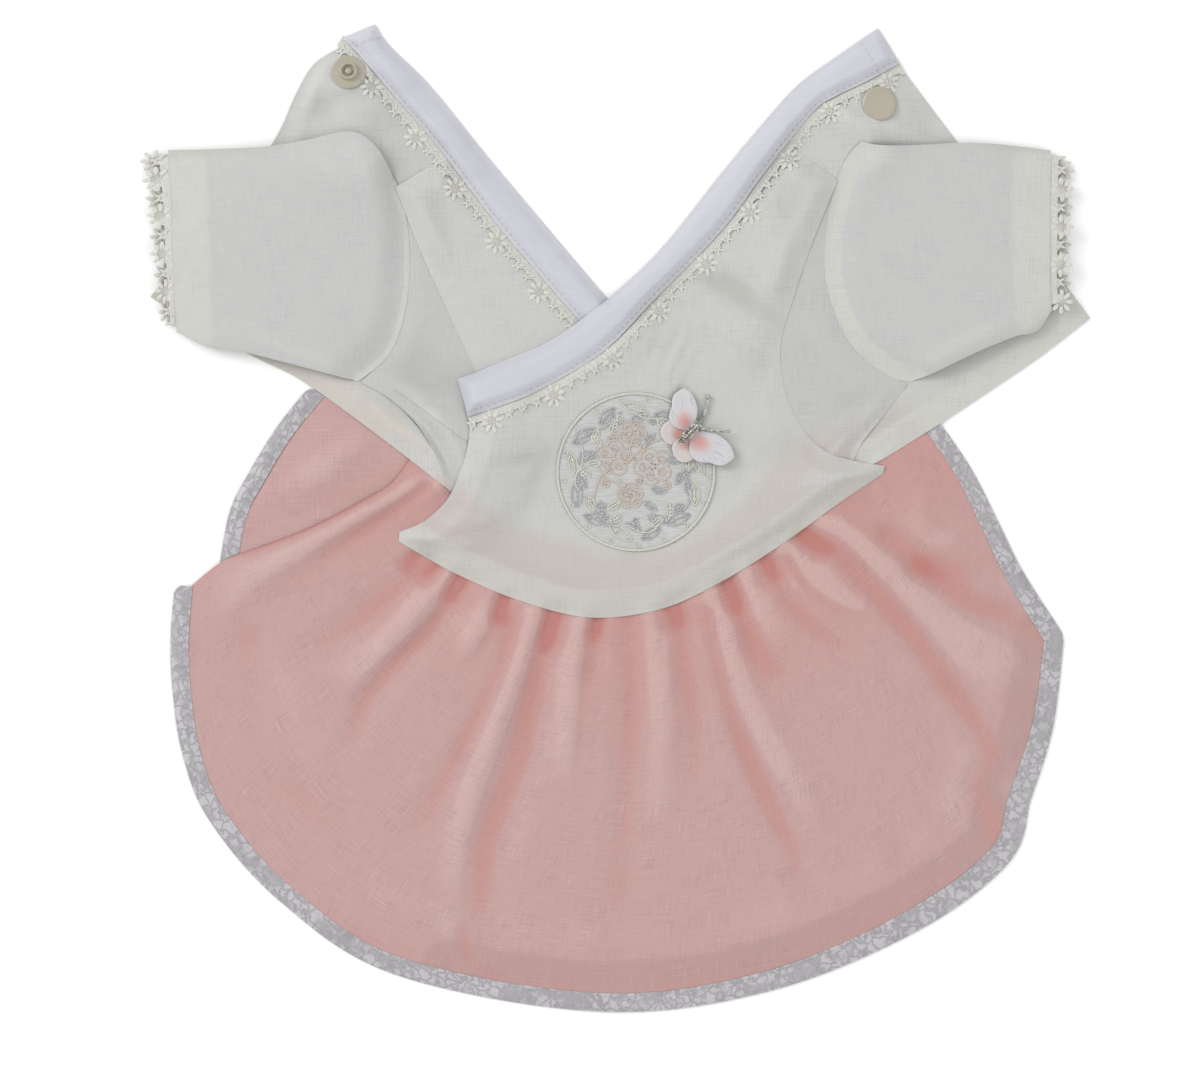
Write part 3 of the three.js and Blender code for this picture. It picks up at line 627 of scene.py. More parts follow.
# %% Model once, copy often
def modelled(obj):
    mesh = obj.data
    points = np.array([obj.matrix_world @ v.co for v in mesh.vertices])
    faces = [list(p.vertices) for p in mesh.polygons]
    bpy.data.objects.remove(obj)
    return points, faces


def joined(*models):
    points, faces, start = [], [], 0
    for more, sides in models:
        points.append(more)
        faces += [[start + i for i in side] for side in sides]
        start += len(more)
    return np.vstack(points), faces


def moved(model, x=0.0, y=0.0, z=0.0, turn=0.0, size=(1, 1, 1)):
    points = model[0] * np.array(size)
    c, s = math.cos(turn), math.sin(turn)
    points = points @ np.array([[c, s, 0], [-s, c, 0], [0, 0, 1]]) + [x, y, z]
    return points, model[1]


def moulded(model, lift=0.0):
    points = model[0].copy()
    points[:, 2] += laid.read(points[:, :2], 0) + lift
    return points, model[1]


def made(name, model, finish, angle=60):
    points = model[0] + [*MIDDLE, 0]
    obj = mesh_object(name, points, model[1], angle)
    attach(obj, "root")
    paint(obj, finish)
    return obj


def primitive(kind, **sizes):
    bpy.ops.object.select_all(action="DESELECT")
    getattr(bpy.ops.mesh, f"primitive_{kind}_add")(**sizes)
    return bpy.context.active_object


bead = modelled(primitive("uv_sphere", segments=8, ring_count=6, radius=1))
ring = modelled(primitive("torus", major_segments=14, minor_segments=5, major_radius=1, minor_radius=0.3))
print("a bead has", len(bead[1]), "faces and a ring", len(ring[1]))

# %% [markdown]
# ## Sewing thread
# A machine stitch is a short length of thread, pulled tight and a little sunk at both ends: a bead that is
# squashed long and low looks just like it.

# %% Rows of stitches
thread = Finish("sewing thread", roughness=0.7)
thread.shader.inputs["Base Color"].default_value = tone(206, 207, 200)
silver_thread = Finish("silver sewing thread", roughness=0.6)
silver_thread.shader.inputs["Base Color"].default_value = tone(186, 185, 188)


def stitches(name, line, finish, pitch=2.3, length=1.5, width=0.3):
    count = max(2, int(length_of(line) / pitch))
    points = evenly(line, count)
    middles = (points[:-1] + points[1:]) / 2
    ways = np.diff(points, axis=0)
    row = [moved(bead, *middle, 0, math.atan2(way[1], way[0]), (length / 2, width / 2, 0.14))
           for middle, way in zip(middles, ways)]
    return made(name, moulded(joined(*row), 0.04), finish)


# %% [markdown]
# ## The brocade hem
# A strip of silver brocade is folded round the skirt's lower edge. Its figure is woven with a shiny yarn, so it
# is smoother and brighter than its ground; here, scattered rounded figures.

# %% The hem band
brocade = Finish("silver brocade", roughness=0.42, sheen=0.1)
swirl = brocade.add("ShaderNodeTexNoise")
swirl.inputs["Scale"].default_value = 330
brocade.link(brocade.mapped("UV"), swirl.inputs["Vector"])
swirled = brocade.add("ShaderNodeVectorMath", operation="MULTIPLY_ADD")
swirled.inputs[1].default_value = (0.0065, 0.0065, 0)
brocade.link(swirl.outputs["Color"], swirled.inputs[0])
brocade.link(brocade.mapped("UV"), swirled.inputs[2])
petals = brocade.add("ShaderNodeTexVoronoi", feature="DISTANCE_TO_EDGE")
petals.inputs["Scale"].default_value = 300
brocade.link(swirled.outputs["Vector"], petals.inputs["Vector"])
petal_mark = brocade.between(petals.outputs["Distance"], 0.02, 0.2)
spray = brocade.between(brocade.noise(brocade.mapped("UV", (1, 1.4, 1)), 95, 2.0), 0.36, 0.52)
figure = brocade.maths("MULTIPLY", petal_mark, spray)
rib = brocade.wave(brocade.mapped("UV"), 2200, "X", 0.3)
ground = brocade.mixed(brocade.noise(brocade.mapped("UV"), 45), tone(162, 158, 161), tone(181, 177, 181))
ground = brocade.mixed(brocade.between(petals.outputs["Distance"], 0.01, 0.07, 0.4, 0.0), ground, tone(140, 141, 146))
brocade.colour(brocade.mixed(brocade.maths("MULTIPLY", figure, 0.68), ground, tone(206, 203, 208)))
brocade.bump(brocade.maths("ADD", figure, brocade.maths("MULTIPLY", rib, 0.3)), 0.0002, 0.8)


BAND_STEP, BAND_ACROSS = 0.9, 12  # mm between its points, and squares across it
BAND_FLAT = 7  # mm of the folded band, across


def band_width(share):
    """The band is a little wider at the lower right, where more of it turns up, and narrow at its right end."""
    return 5.8 + 1.8 * np.exp(-(((share - 0.68) / 0.16) ** 2)) - 0.8 * share**6


def rolled_under(far, depth, reach):
    """How much a round edge sinks at these distances from it: `depth` at the edge itself, nothing past its reach."""
    return depth * (1 - np.sqrt(1 - (1 - np.clip(far / reach, 0, 1)) ** 2))


def hem_band(name, solid, line, width):
    """A folded band along the hem, with round edges, round corners at its ends, and a gentle wobble."""
    steps = int(length_of(line) / BAND_STEP)
    line = evenly(line, steps)
    share = np.linspace(0, 1, steps + 1)
    out = sideways(line)
    from_end = np.minimum(share, 1 - share) * length_of(line)
    rounded = 1 - 0.35 * (1 - np.clip(from_end / 3.5, 0, 1)) ** 2
    outer = line - out * (width(share) * rounded)[:, None]
    grid = ribbon(line + 0.7 * out, outer, BAND_ACROSS)
    from_outer, from_inner = distance_to(grid, outer), distance_to(grid, grid[0])
    wobble = 0.25 * np.sin(share * length_of(line) / 9) * np.sin(share * 31)
    top = soften(heights_on(solid_faces(solid), grid), 8) - rolled_under(from_outer, 0.4, 1.2)
    top = top - rolled_under(from_inner, 0.4, 1.2) + wobble[None]
    along = np.stack([(share * length_of(line))[None].repeat(BAND_ACROSS + 1, 0),
                      np.linspace(0, BAND_FLAT, BAND_ACROSS + 1)[:, None].repeat(steps + 1, 1)], -1)
    band = lay(name, solid, grid, wall=0.24, droop=3, soften_by=0, sink=0.5, low=top, uv=along)
    paint(band, brocade)
    return band


print(f"the hem band is {band_width(0):.1f} mm wide at the left and {band_width(0.68):.1f} mm at the lower right")


# %% [markdown]
# ## The skirt
# The skirt is one long flared strip whose top edge is drawn up in gathers, so it opens like a fan and every
# gather runs from the waist and dies out before the hem. The tables give the crest line of each ridge and the
# bottom line of each valley as they lie, from left to right. At the left the skirt folds over itself, and the
# fold's roll is the first ridge; at the right some cloth is pushed up, so its valleys bend round.

# %% The skirt's cut and its gathers
SKIRT = {
    "bottom": [[[-151.6, -24], [-153, -43], [-152.3, -60.7], [-149, -82], [-140.2, -104], [-116, -131.7],
                [-77, -156.6], [-6, -169.3], [51, -162], [100.5, -141.6], [133, -118.2], [140.2, -98],
                [148.4, -73], [152.7, -43]]],
    "right": [[[152.7, -43], [139.5, -21.7], [130.6, -3.2], [121.8, 14.6], [112, 29.5], [107, 36]]],
    "top": [[[-72, 24], [-58, 12], [-34.4, -11.7], [-6, -24.5], [26, -21.7], [58, -7.5], [82.7, 12],
             [107, 36]]],
    "left": [[[-151.6, -24], [-140.6, -15.3], [-128, -10.4], [-116, -6], [-104, -0.7], [-91, 6.3], [-80, 13],
              [-72, 24]]],
}
SKIRT_SIDE = {
    "bottom": [[[-137, -26], [-118, -20], [-100, -8], [-78, 8]]],
    "right": [[[-78, 8], [-66, 18]]],
    "top": [[[-104.7, 44], [-86, 32.5], [-66, 18]]],
    "left": [[[-137, -26], [-132.8, -0.4], [-126, 13.8], [-116, 30], [-104.7, 44]]],
}
RIDGES = [
    dict(crest=[[-64, 13], [-86, 4], [-104, -6], [-120, -15], [-134, -25], [-146, -38]], height=3.4, soft=7,
         steep=4.5, dip=0, end=0.15),
    dict(crest=[[-60, -20], [-72, -34], [-84, -47], [-98, -62]], height=2.4, soft=6, steep=4, dip=0.2),
    dict(crest=[[-43, -29], [-50, -42], [-54, -54]], height=1.8, soft=5, steep=3, dip=0),
    dict(crest=[[-27, -33], [-35, -52], [-42, -70], [-50, -92], [-56, -112], [-60, -134]], height=2.8, soft=5,
         steep=3.5, dip=0.2),
    dict(crest=[[-10, -33], [-15, -52], [-17, -70], [-20, -98]], height=2.2, soft=4.5, steep=3, dip=0.2),
    dict(crest=[[12, -33], [14, -55], [14, -80], [13, -114]], height=1.6, soft=5, steep=5, dip=0),
    dict(crest=[[34, -25], [38, -42], [45, -64], [54, -80], [66, -100], [74, -116]], height=2.4, soft=4, steep=4.5,
         dip=0),
    dict(crest=[[45, -19], [50, -36], [58, -52]], height=1.6, soft=4, steep=4, dip=0),
    dict(crest=[[60, -9], [70, -21], [82, -30], [95, -33]], height=1.4, soft=4, steep=3, dip=0),
    dict(crest=[[78, -3], [100, -22], [118, -38], [134, -52], [142, -62]], height=3.0, soft=8, steep=6, dip=0.2,
         end=0.2),
    dict(crest=[[106, 14], [112, 2], [122, -8]], height=1.0, soft=8, steep=6, dip=0),
]
# each valley is a dip in the cloth, and the pink finish also paints shade into it by its depth
VALLEYS = [  # bottom line, depth, width, and how much of the depth is left at the far end
    ([[-68, 11], [-82, 2], [-92, -4], [-102, -10], [-112, -16]], 1.9, 2.5, 0),
    ([[-66, -13], [-80, -26], [-92, -36], [-104, -44], [-120, -54]], 2.4, 5, 0),
    ([[-56, -21], [-66, -38], [-78, -50], [-88, -62], [-95, -78], [-102, -92]], 2.0, 3.4, 0),
    ([[-40, -28], [-46, -42], [-50, -50], [-46, -58]], 1.4, 2.5, 0),
    ([[-38, -36], [-40, -52], [-47, -68], [-56, -84], [-66, -100], [-78, -116]], 1.6, 4.2, 0.3),
    ([[-22, -33], [-27, -50], [-31, -68], [-35, -86], [-41, -102], [-47, -120], [-49, -148]], 2.5, 4.2, 0.45),
    ([[-6, -33], [-9, -46], [-11, -62]], 1.5, 3.4, 0),
    ([[3, -36], [5, -60], [4, -90], [2, -120], [0, -152]], 1.4, 5, 0.6),
    ([[20, -30], [24, -50], [27, -70], [28, -98]], 1.8, 4, 0.2),
    ([[33, -34], [38, -58], [45, -80], [54, -102], [62, -118], [66, -134]], 1.5, 3.2, 0.4),
    ([[39, -22], [46, -38], [52, -49], [60, -58]], 2.6, 3.6, 0),
    ([[53, -15], [60, -28], [72, -40], [88, -50]], 1.5, 3, 0),
    ([[67, -5], [80, -13], [90, -23], [98, -32], [107, -43], [117, -57], [125, -69], [131, -83], [130, -97],
      [136, -112]], 2.8, 4.4, 0.8),
    ([[61, -14], [70, -26], [82, -34], [96, -34]], 1.4, 1.8, 0),
    ([[96, -6], [110, -15], [124, -17], [139, -14]], 1.4, 4.5, 0.8),
    ([[108, -18], [124, -28], [138, -33], [152, -42]], 2.4, 6, 1),
    ([[113, 6], [117, -6]], 0.6, 4, 0),
    ([[-131, -44], [-131, -64], [-127, -84], [-118, -104], [-103, -122]], 1.2, 7.5, 0.3),
    ([[-55, -146], [-52, -158], [-40, -165]], 0.8, 2, 0.5),
    ([[98, -112], [100, -122], [104, -128]], 0.6, 4, 0),
    ([[112, -62], [116, -78], [118, -96]], 1.0, 9, 0),
    ([[-112, -98], [-96, -112], [-82, -118]], 0.8, 9, 0),
]
# the mouths are the deepest hollows: the finish paints them with its darkest shade, partly the deeper pink of doubled
# cloth
MOUTHS = [  # where a gather opens under the bodice: its place, its far end and its width
    ([-72, -13], [-78, -19], 2.4), ([-64, -17], [-71, -25], 3.2), ([-55, -21], [-61, -32], 4),
    ([-40, -28], [-44, -39], 3.2), ([-23, -33], [-26, -50], 4), ([-7, -33], [-9, -47], 3.2),
    ([20, -30], [22, -42], 5), ([39, -22], [43, -36], 4), ([53, -14], [59, -24], 4), ([67, -6], [76, -15], 4),
]
MOUTH_DEPTH = 2.4
VALLEYS += [([a, b], MOUTH_DEPTH, width, 0) for a, b, width in MOUTHS]
GATHERS = RIDGES + [dict(crest=line, height=-depth, soft=width, steep=width, dip=0, start=1, end=end)
                    for line, depth, width, end in VALLEYS]

SKIRT_WALL = 0.3
side_grid = panel(SKIRT_SIDE, 40, 50)
skirt_side = lay(
    "skirt_side_cloth", "skirt_side", side_grid, wall=SKIRT_WALL, droop=4,
    folds=[dict(crest=[[-92, 28], [-106, 18], [-120, 8], [-130, 2]], height=0.8, soft=6, steep=6, dip=0, end=0.4),
           # a trough along the fold's edge, where the pink finish paints the fold's shadow onto this cloth
           dict(crest=[[-72, 19], [-90, 12], [-106, 6], [-122, 1], [-136, -4]], height=-1.2, soft=5, steep=5, dip=0,
                start=1, end=0.6)])
pink_under.cover(side_grid, np.ones(side_grid.shape[:2]))
paint(skirt_side, pink)

side_line = side_grid[::-1, 0]
band_side = hem_band("band_side", "hem_band_side", side_line, lambda share: np.full(share.shape, 5.6))
print("the part behind the fold:", len(skirt_side.data.polygons), "faces")

# %% [markdown]
# The skirt lies low at its hem and rises over the first 22 mm, and the gathers stand on that. Where it folds over
# itself, it rolls down to what it lies on. Near the waist the gathers double the cloth, so its pink is deeper, and
# shade is painted into it there as well. The skirt's seam allowance goes on a little under the bodice and shines
# through it.

# %% The gathered skirt and its band
HEM_HEIGHT, SKIRT_RISE, RISE_REACH = 0.5, 1.3, 22
FOLD_REACH = 7  # mm over which the fold at the left rolls down
WAIST_MM, DROP_MM = 420, 150  # what its weave is measured by
CROWDED_FROM, CROWDED_TO = 8, 70  # mm below the waist
PINK_THROUGH = 0.8  # how much of the allowance's pink shows

skirt_grid = panel(SKIRT, 380, 84)
skirt_line = np.vstack([skirt_grid[0], skirt_grid[1:-1, -1]])
hem_far = distance_to(skirt_grid, thinned(skirt_line))
skirt_rest = HEM_HEIGHT + SKIRT_RISE * step(hem_far, 0, RISE_REACH) + creases(skirt_grid, GATHERS)
fold_far = distance_to(skirt_grid, thinned(skirt_grid[:, 0]))
on_side = laid.read(skirt_grid) + SKIRT_WALL
skirt_rest = on_side + (skirt_rest - on_side) * np.sqrt(1 - (1 - np.clip(fold_far / FOLD_REACH, 0, 1)) ** 2)
waist_mm = np.linspace(0, WAIST_MM, skirt_grid.shape[1])[None, :].repeat(len(skirt_grid), 0)
drop_mm = np.linspace(0, DROP_MM, len(skirt_grid))[:, None].repeat(skirt_grid.shape[1], 1)
# near the waist, where the gathers double the cloth: this deepens the pink, and adds painted shade through the hollow
# mark
crowded = 1 - step(distance_to(skirt_grid, thinned(skirt_grid[-1])), CROWDED_FROM, CROWDED_TO)
skirt = lay("skirt_cloth", "skirt", skirt_grid, wall=SKIRT_WALL, soften_by=1, sink=0,
            low=skirt_rest, uv=np.stack([waist_mm, drop_mm], -1), droop=0,
            hems=[(skirt_grid[0, 150:], 12)],
            more={"hollow": hollows(skirt_rest, 90) + 0.12 * crowded, "pink": 0.5 * crowded})
print("skirt:", len(skirt.data.polygons), "faces, highest gather", round(float(laid.cells.max()), 1), "mm")
pink_under.cover(skirt_grid, np.ones(skirt_grid.shape[:2]))
allowance = edge([[[-72, 30], [-60, 16], [-44, 2], [-26, -6], [0, -12], [24, -8], [44, 5], [58, 22], [70, 30],
                   [104, 42]]], 120)
allowance_grid = ribbon(evenly(skirt_grid[-1], 120), allowance, 12)
pink_under.cover(allowance_grid, np.full(allowance_grid.shape[:2], PINK_THROUGH))
paint(skirt, pink)

band = hem_band("band_skirt", "hem_band", skirt_line, band_width)
band_stitches = stitches("hem_stitches", evenly(skirt_line - 0.4 * sideways(skirt_line), 600), silver_thread,
                         width=0.22)
print("hem band", round(length_of(skirt_line)), "mm long")

# %% [markdown]
# ## The bodice
# The belly panels are opened out to both sides and lie lowest. The yoke, which is the lower layer of the back,
# lies on them, the left back panel on that, and the right back panel crosses over it.

# %% Cuts of the bodice
NECK_TIE_LEFT, SHOULDER_LEFT, SHOULDER_RIGHT = [-97, 168.5], [-78.8, 118], [78.5, 120.3]
UNDERARM_LEFT, UNDERARM_RIGHT = [-91, 48.5], [103.3, 48]
WAIST_LEFT, WAIST_RIGHT = [-60.5, 11], [83, 18]
ARMHOLE_LEFT = [UNDERARM_LEFT, [-81.5, 60], [-76.3, 78], [-75.6, 101], SHOULDER_LEFT]
ARMHOLE_RIGHT = [UNDERARM_RIGHT, [96, 52], [84, 63], [76.3, 81], [75, 98], SHOULDER_RIGHT]
SIDE_LEFT = [WAIST_LEFT, [-63, 20], [-70, 32.3], [-80, 42.2], UNDERARM_LEFT]
SIDE_RIGHT = [WAIST_RIGHT, [87, 27], [95, 37], UNDERARM_RIGHT]
BELLY_LEFT = {
    "bottom": [[[-166, 79], [-131.7, 59], [-112.5, 49.3], [-87, 31], [-61, 11]]],
    "right": [SIDE_LEFT, ARMHOLE_LEFT, [SHOULDER_LEFT, [-61, 128]]],
    "top": [[NECK_TIE_LEFT, [-84, 158], [-71, 142], [-61, 128]]],
    "left": [[[-166, 79], [-144.5, 105.5], [-123, 133], [-114, 151.5], [-107.5, 162], NECK_TIE_LEFT]],
}
BELLY_RIGHT = {
    "bottom": [[WAIST_RIGHT, [92, 20], [116.5, 35], [137, 48.6], [151, 58.2], [168.3, 71.5]]],
    "right": [[[168.3, 71.5], [159.4, 83.5], [120.7, 134.5], [100, 162]]],
    "top": [[[58, 133], [68, 148], [82, 157.5], [100, 162]]],
    "left": [SIDE_RIGHT, ARMHOLE_RIGHT, [SHOULDER_RIGHT, [58, 133]]],
}
YOKE = {
    "bottom": [[WAIST_LEFT, [-34.5, -9], [-6, -19], [29.5, -16.5], [61.5, -0.5], WAIST_RIGHT]],
    "right": [SIDE_RIGHT, ARMHOLE_RIGHT],
    "top": [[SHOULDER_LEFT, [-68, 122]], [[-68, 122], [-38, 88], [-6, 58]], [[-6, 58], [24, 84], [62, 128]],
            [[62, 128], SHOULDER_RIGHT]],
    "left": [SIDE_LEFT, ARMHOLE_LEFT],
}
PANEL_UNDER = {
    "bottom": [[[-42, 31], [-10, 36], [14, 50]]],
    "right": [[[14, 50], [-7, 67], [-36, 99], [-61, 129]]],
    "top": [[SHOULDER_LEFT, [-61, 129]]],
    "left": [[[-42, 31], [-50.8, 53.2], [-62, 77.7], [-70.6, 97], SHOULDER_LEFT]],
}
PANEL_OVER = {
    "bottom": [[[-77.5, -8], [-57.5, -19.3], [-34.4, -29], [-9.6, -35], [15.5, -32], [36.6, -22.5], [58, -9.3],
                [79, 5.7], [94.4, 16]]],
    "right": [[[94.4, 16], [95, 18.8]], [[95, 18.8], [83, 21], [73.8, 24.2], [65, 33.4], [59.3, 47.6],
              [58.2, 62], [62.5, 77.8], [69.6, 98.7], SHOULDER_RIGHT]],
    "top": [[[-54, 43], [-27, 53], [-5, 66], [22.5, 90], [42, 112], [62, 132.5]], [[62, 132.5], SHOULDER_RIGHT]],
    "left": [[[-77.5, -8], [-77.3, -4.6]], [[-77.3, -4.6], [-68, -0.4], [-59.3, 8.5], [-53.6, 22.7],
             [-52.3, 34], [-54, 43]]],
}

# %% What lies under the belly panels: the lower halves of the snaps
def middle_of(solid):
    """The middle of a solid, seen from above, and the height of its underside, in mm."""
    low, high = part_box(solid)
    return (low[0] + high[0]) / 2 / MM, (low[1] + high[1]) / 2 / MM, low[2] / MM


SNAP_RADIUS, CAP_HEIGHT, SOCKET_HEIGHT, TILT_LEFT = 6.15, 1.4, 2.45, math.radians(-12)
for side, half, height, tilt in (("left", "cap", CAP_HEIGHT, TILT_LEFT), ("right", "socket", SOCKET_HEIGHT, 0)):
    x, y, _ = middle_of(f"snap_{side}_{half}")
    turn = np.linspace(0, 2 * np.pi, 60)[:, None] * np.ones(8)
    out = np.linspace(0, SNAP_RADIUS, 8)[None] * np.ones((60, 1))
    disc = np.stack([x - MIDDLE[0] + out * np.cos(turn), y - MIDDLE[1] + out * np.sin(turn)], -1)
    laid.cover(disc, height + math.sin(tilt) * out * np.sin(turn) - SNAP_RADIUS * math.sin(tilt))
print("the cloth at the snaps will lie about", round(float(laid.cells.max()), 1), "mm up")

# %% The panels, from the lowest up
belly_grids = {"left": panel(BELLY_LEFT, 70, 96), "right": panel(BELLY_RIGHT, 70, 96)}
belly_left = lay("belly_left", "belly_panel_left", belly_grids["left"], sewn="right", hems=[
    (belly_grids["left"][0], 9)], folds=[
    dict(crest=[[-104, 163], [-110, 150], [-114, 136]], height=1.4, soft=3, steep=2.5, end=0.2),
    dict(crest=[[-92, 44], [-86, 36], [-76, 26], [-66, 15]], height=0.6, soft=4, steep=4, end=0.5)])
belly_right = lay("belly_right", "belly_panel_right", belly_grids["right"], sewn="left", hems=[
    (belly_grids["right"][0], 9)], folds=[
    dict(crest=[[76, 148], [82, 142], [92, 138], [104, 136]], height=1.6, soft=4, steep=3, end=0.3)])
yoke = lay("yoke", "back_yoke", panel(YOKE, 110, 90), folds=[
    dict(crest=[[-87, 49], [-78, 43], [-69, 33], [-62, 20]], height=0.5, soft=4, steep=4, end=0.5),
    dict(crest=[[99, 45], [92, 36], [86, 26], [84, 20]], height=1.1, soft=3, steep=3, end=0.5)])
paint(belly_left, belly_ivory)
paint(belly_right, ivory)
paint(yoke, yoke_ivory)
print("lower panels laid, highest", round(float(laid.cells.max()), 1), "mm")

# %% [markdown]
# ## Sleeves
# A short sleeve is a tube. Lying flat it is two layers with a slit between them and a soft roll at each side.
# Each ring of the tube goes round the sleeve once, and the rings run from the armhole to the cuff.

# %% Sleeves
SLEEVE_LEFT = {
    "bottom": [[[-156.2, 66.4], [-145.2, 61], [-133, 59.3], [-117.5, 55.4], [-92.2, 48.8]]],
    "right": [[[-92.2, 48.8], [-80.4, 59.4], [-74.6, 78], [-74, 101], [-77.8, 118.6]]],
    "top": [[[-159.4, 131], [-126, 132], [-109, 134.3], [-94, 137], [-85, 131.5], [-77.8, 118.6]]],
    "left": [[[-156.2, 66.4], [-157.3, 92], [-158, 113], [-159.4, 131]]],
}
SLEEVE_RIGHT = {
    "bottom": [[[104.4, 48.6], [113.2, 52.2], [127.4, 59], [141, 64.6], [149, 66.6], [154.2, 74]]],
    "right": [[[154.2, 74], [153.4, 85], [153.4, 106], [154, 131]]],
    "top": [[[86.6, 134], [97, 132.3], [121.8, 133.5], [136, 133], [154, 131]]],
    "left": [[[104.4, 48.6], [95.6, 51.4], [83, 62.2], [75, 80.6], [73.8, 98], [76.6, 115], [81, 127.4],
              [86.6, 134]]],
}


SLEEVE_HEIGHT = 1.2  # how high the upper layer of a sleeve stands at least
CUFF_HEM, SLEEVE_WIDTH = 13, 75
SLEEVE_WALL, SLEEVE_ROUND = 0.1, 76  # its wall in mm, and the points round its tube
ROUNDNESS = 0.45  # of the rolls at both sides: 1 is a circle, less is flatter


def sleeve(name, solid, grid, cuff, folds, seam_mm):
    """A tube that lies flat between its solid's top and underside. `cuff` is the column of its free end."""
    tree = solid_faces(solid)
    upper = soften(heights_on(tree, grid), 10) - 0.5 + creases(grid, folds)
    lower = np.maximum(soften(heights_on(tree, grid, from_below=True), 10) + 0.1, laid.read(grid) + 0.1)
    upper = np.maximum(upper, laid.read(grid) + SLEEVE_HEIGHT)
    hollow = hollows(upper, HOLLOW_REACH)
    # it comes down to the yoke at the armhole seam, where the two are sewn together
    seam_far = distance_to(grid, thinned(grid[:, -1 - cuff]))
    upper -= (upper - soften(laid.read(grid), 3) - 0.08) * (1 - step(seam_far, 0, 12))
    upper = np.maximum(upper, laid.read(grid) + 0.06 + 0.22 * step(seam_far, 0, 3))
    lower = np.minimum(soften(lower, 4), upper - 0.22 - 0.35 * step(seam_far, 4, 10))
    hem = hem_share(grid, [(grid[:, cuff], CUFF_HEM), (grid[:, -1 - cuff], seam_mm)])
    rows = grid.shape[0] - 1
    turn = np.linspace(0, 2 * np.pi, SLEEVE_ROUND, endpoint=False)
    rise = np.sign(np.sin(turn)) * np.abs(np.sin(turn)) ** ROUNDNESS

    def loops(inset):
        """The rings of the tube, this far inside its outer face, and the marks along them."""
        share = 0.5 + np.cos(turn) * (0.5 - inset / SLEEVE_WIDTH)
        at = share * rows
        i = np.minimum(at.astype(int), rows - 1)
        t = (at - i)[:, None]
        take = lambda values: (1 - t) * values[i] + t * values[i + 1]
        top, bottom = take(upper), take(lower)
        xy = (1 - t[..., None]) * grid[i] + t[..., None] * grid[i + 1]
        z = (top + bottom) / 2 + rise[:, None] * ((top - bottom) / 2 - inset)
        points = np.concatenate([xy + MIDDLE, z[..., None]], -1)
        at_column = np.arange(grid.shape[1])
        for k in np.flatnonzero(rise < 0):  # the under layer ends a little before the armhole, out of sight
            back = at_column * (1 + 0.15 * rise[k]) if cuff == 0 else at_column[-1] + (
                at_column - at_column[-1]) * (1 + 0.15 * rise[k])
            points[k] = np.stack([np.interp(back, at_column, points[k, :, axis]) for axis in range(3)], -1)
        return points, take(hem), take(hollow)

    outer, far, deep = loops(0)
    inner, _, _ = loops(SLEEVE_WALL)
    count = grid.shape[1]
    at = np.arange(SLEEVE_ROUND * count).reshape(SLEEVE_ROUND, count)
    after = np.roll(at, -1, 0)
    low = SLEEVE_ROUND * count
    skin = np.stack([at[:, :-1], at[:, 1:], after[:, 1:], after[:, :-1]], -1).reshape(-1, 4)
    lining = skin[:, ::-1] + low
    ends = [np.stack([after[:, 0], after[:, 0] + low, at[:, 0] + low, at[:, 0]], -1),
            np.stack([at[:, -1], at[:, -1] + low, after[:, -1] + low, after[:, -1]], -1)]
    faces = np.vstack([skin, lining, *ends])
    points = np.vstack([outer.reshape(-1, 3), inner.reshape(-1, 3)])
    obj = mesh_object(name, points, turn_out(points, faces).tolist())
    # the hollow mark is where the sleeve's finish paints shade in the valleys and a highlight on the ridges
    write_marks(obj, {"hem": far, "pink": np.zeros(far.shape), "hollow": deep}, outer[..., :2])
    laid.cover(grid, upper)
    dress(obj, solid)
    paint(obj, cuff_ivory)
    return obj


sleeve_grids = {"left": panel(SLEEVE_LEFT, 56, 60), "right": panel(SLEEVE_RIGHT, 56, 60)}
sleeve_left = sleeve("sleeve_left_cloth", "sleeve_left", sleeve_grids["left"], 0, [
    dict(crest=[[-92, 130], [-86, 122], [-82, 108], [-81, 92]], height=0.9, soft=3, steep=4, end=0.2),
    dict(crest=[[-96, 52], [-112, 58], [-130, 63]], height=0.8, soft=4, steep=3, end=0.2),
    dict(crest=[[-100, 112], [-118, 104], [-138, 100]], height=0.35, soft=9, steep=9, end=0.3)], 2)
sleeve_right = sleeve("sleeve_right_cloth", "sleeve_right", sleeve_grids["right"], -1, [
    dict(crest=[[104, 54], [122, 62], [142, 72], [151, 78]], height=0.9, soft=4, steep=3, end=0.4),
    dict(crest=[[90, 128], [84, 116], [81, 100], [83, 84]], height=0.7, soft=4, steep=3, end=0.2),
    dict(crest=[[110, 112], [126, 104], [144, 98]], height=0.35, soft=9, steep=9, end=0.3)], 6)
print("sleeves laid, highest", round(float(laid.cells.max()), 1), "mm")

# %% [markdown]
# ## Daisy lace
# The lace is a narrow net with a daisy every 23.5 mm and three small rings between two daisies. A daisy has eight
# padded petals round a hollow centre, and each ring has four small leaves.

# %% Lace
DAISY_RADIUS, RING_RADIUS, LACE_REPEAT, LACE_RIBBON = 4.6, 2.3, 23.5, 2.6
RINGS_AT = (0.29, 0.5, 0.71)  # shares of the repeat
TWIST = 0.15  # a daisy is never set quite straight

lace_cord = Finish("lace cord", roughness=0.85, sheen=0.1)
cord_grain = lace_cord.noise(lace_cord.mapped("Object"), 1500)
lace_cord.colour(lace_cord.mixed(lace_cord.between(cord_grain, 0.35, 0.65), tone(209, 208, 199), tone(222, 221, 213)))
lace_cord.bump(cord_grain, 0.00012, 0.8)

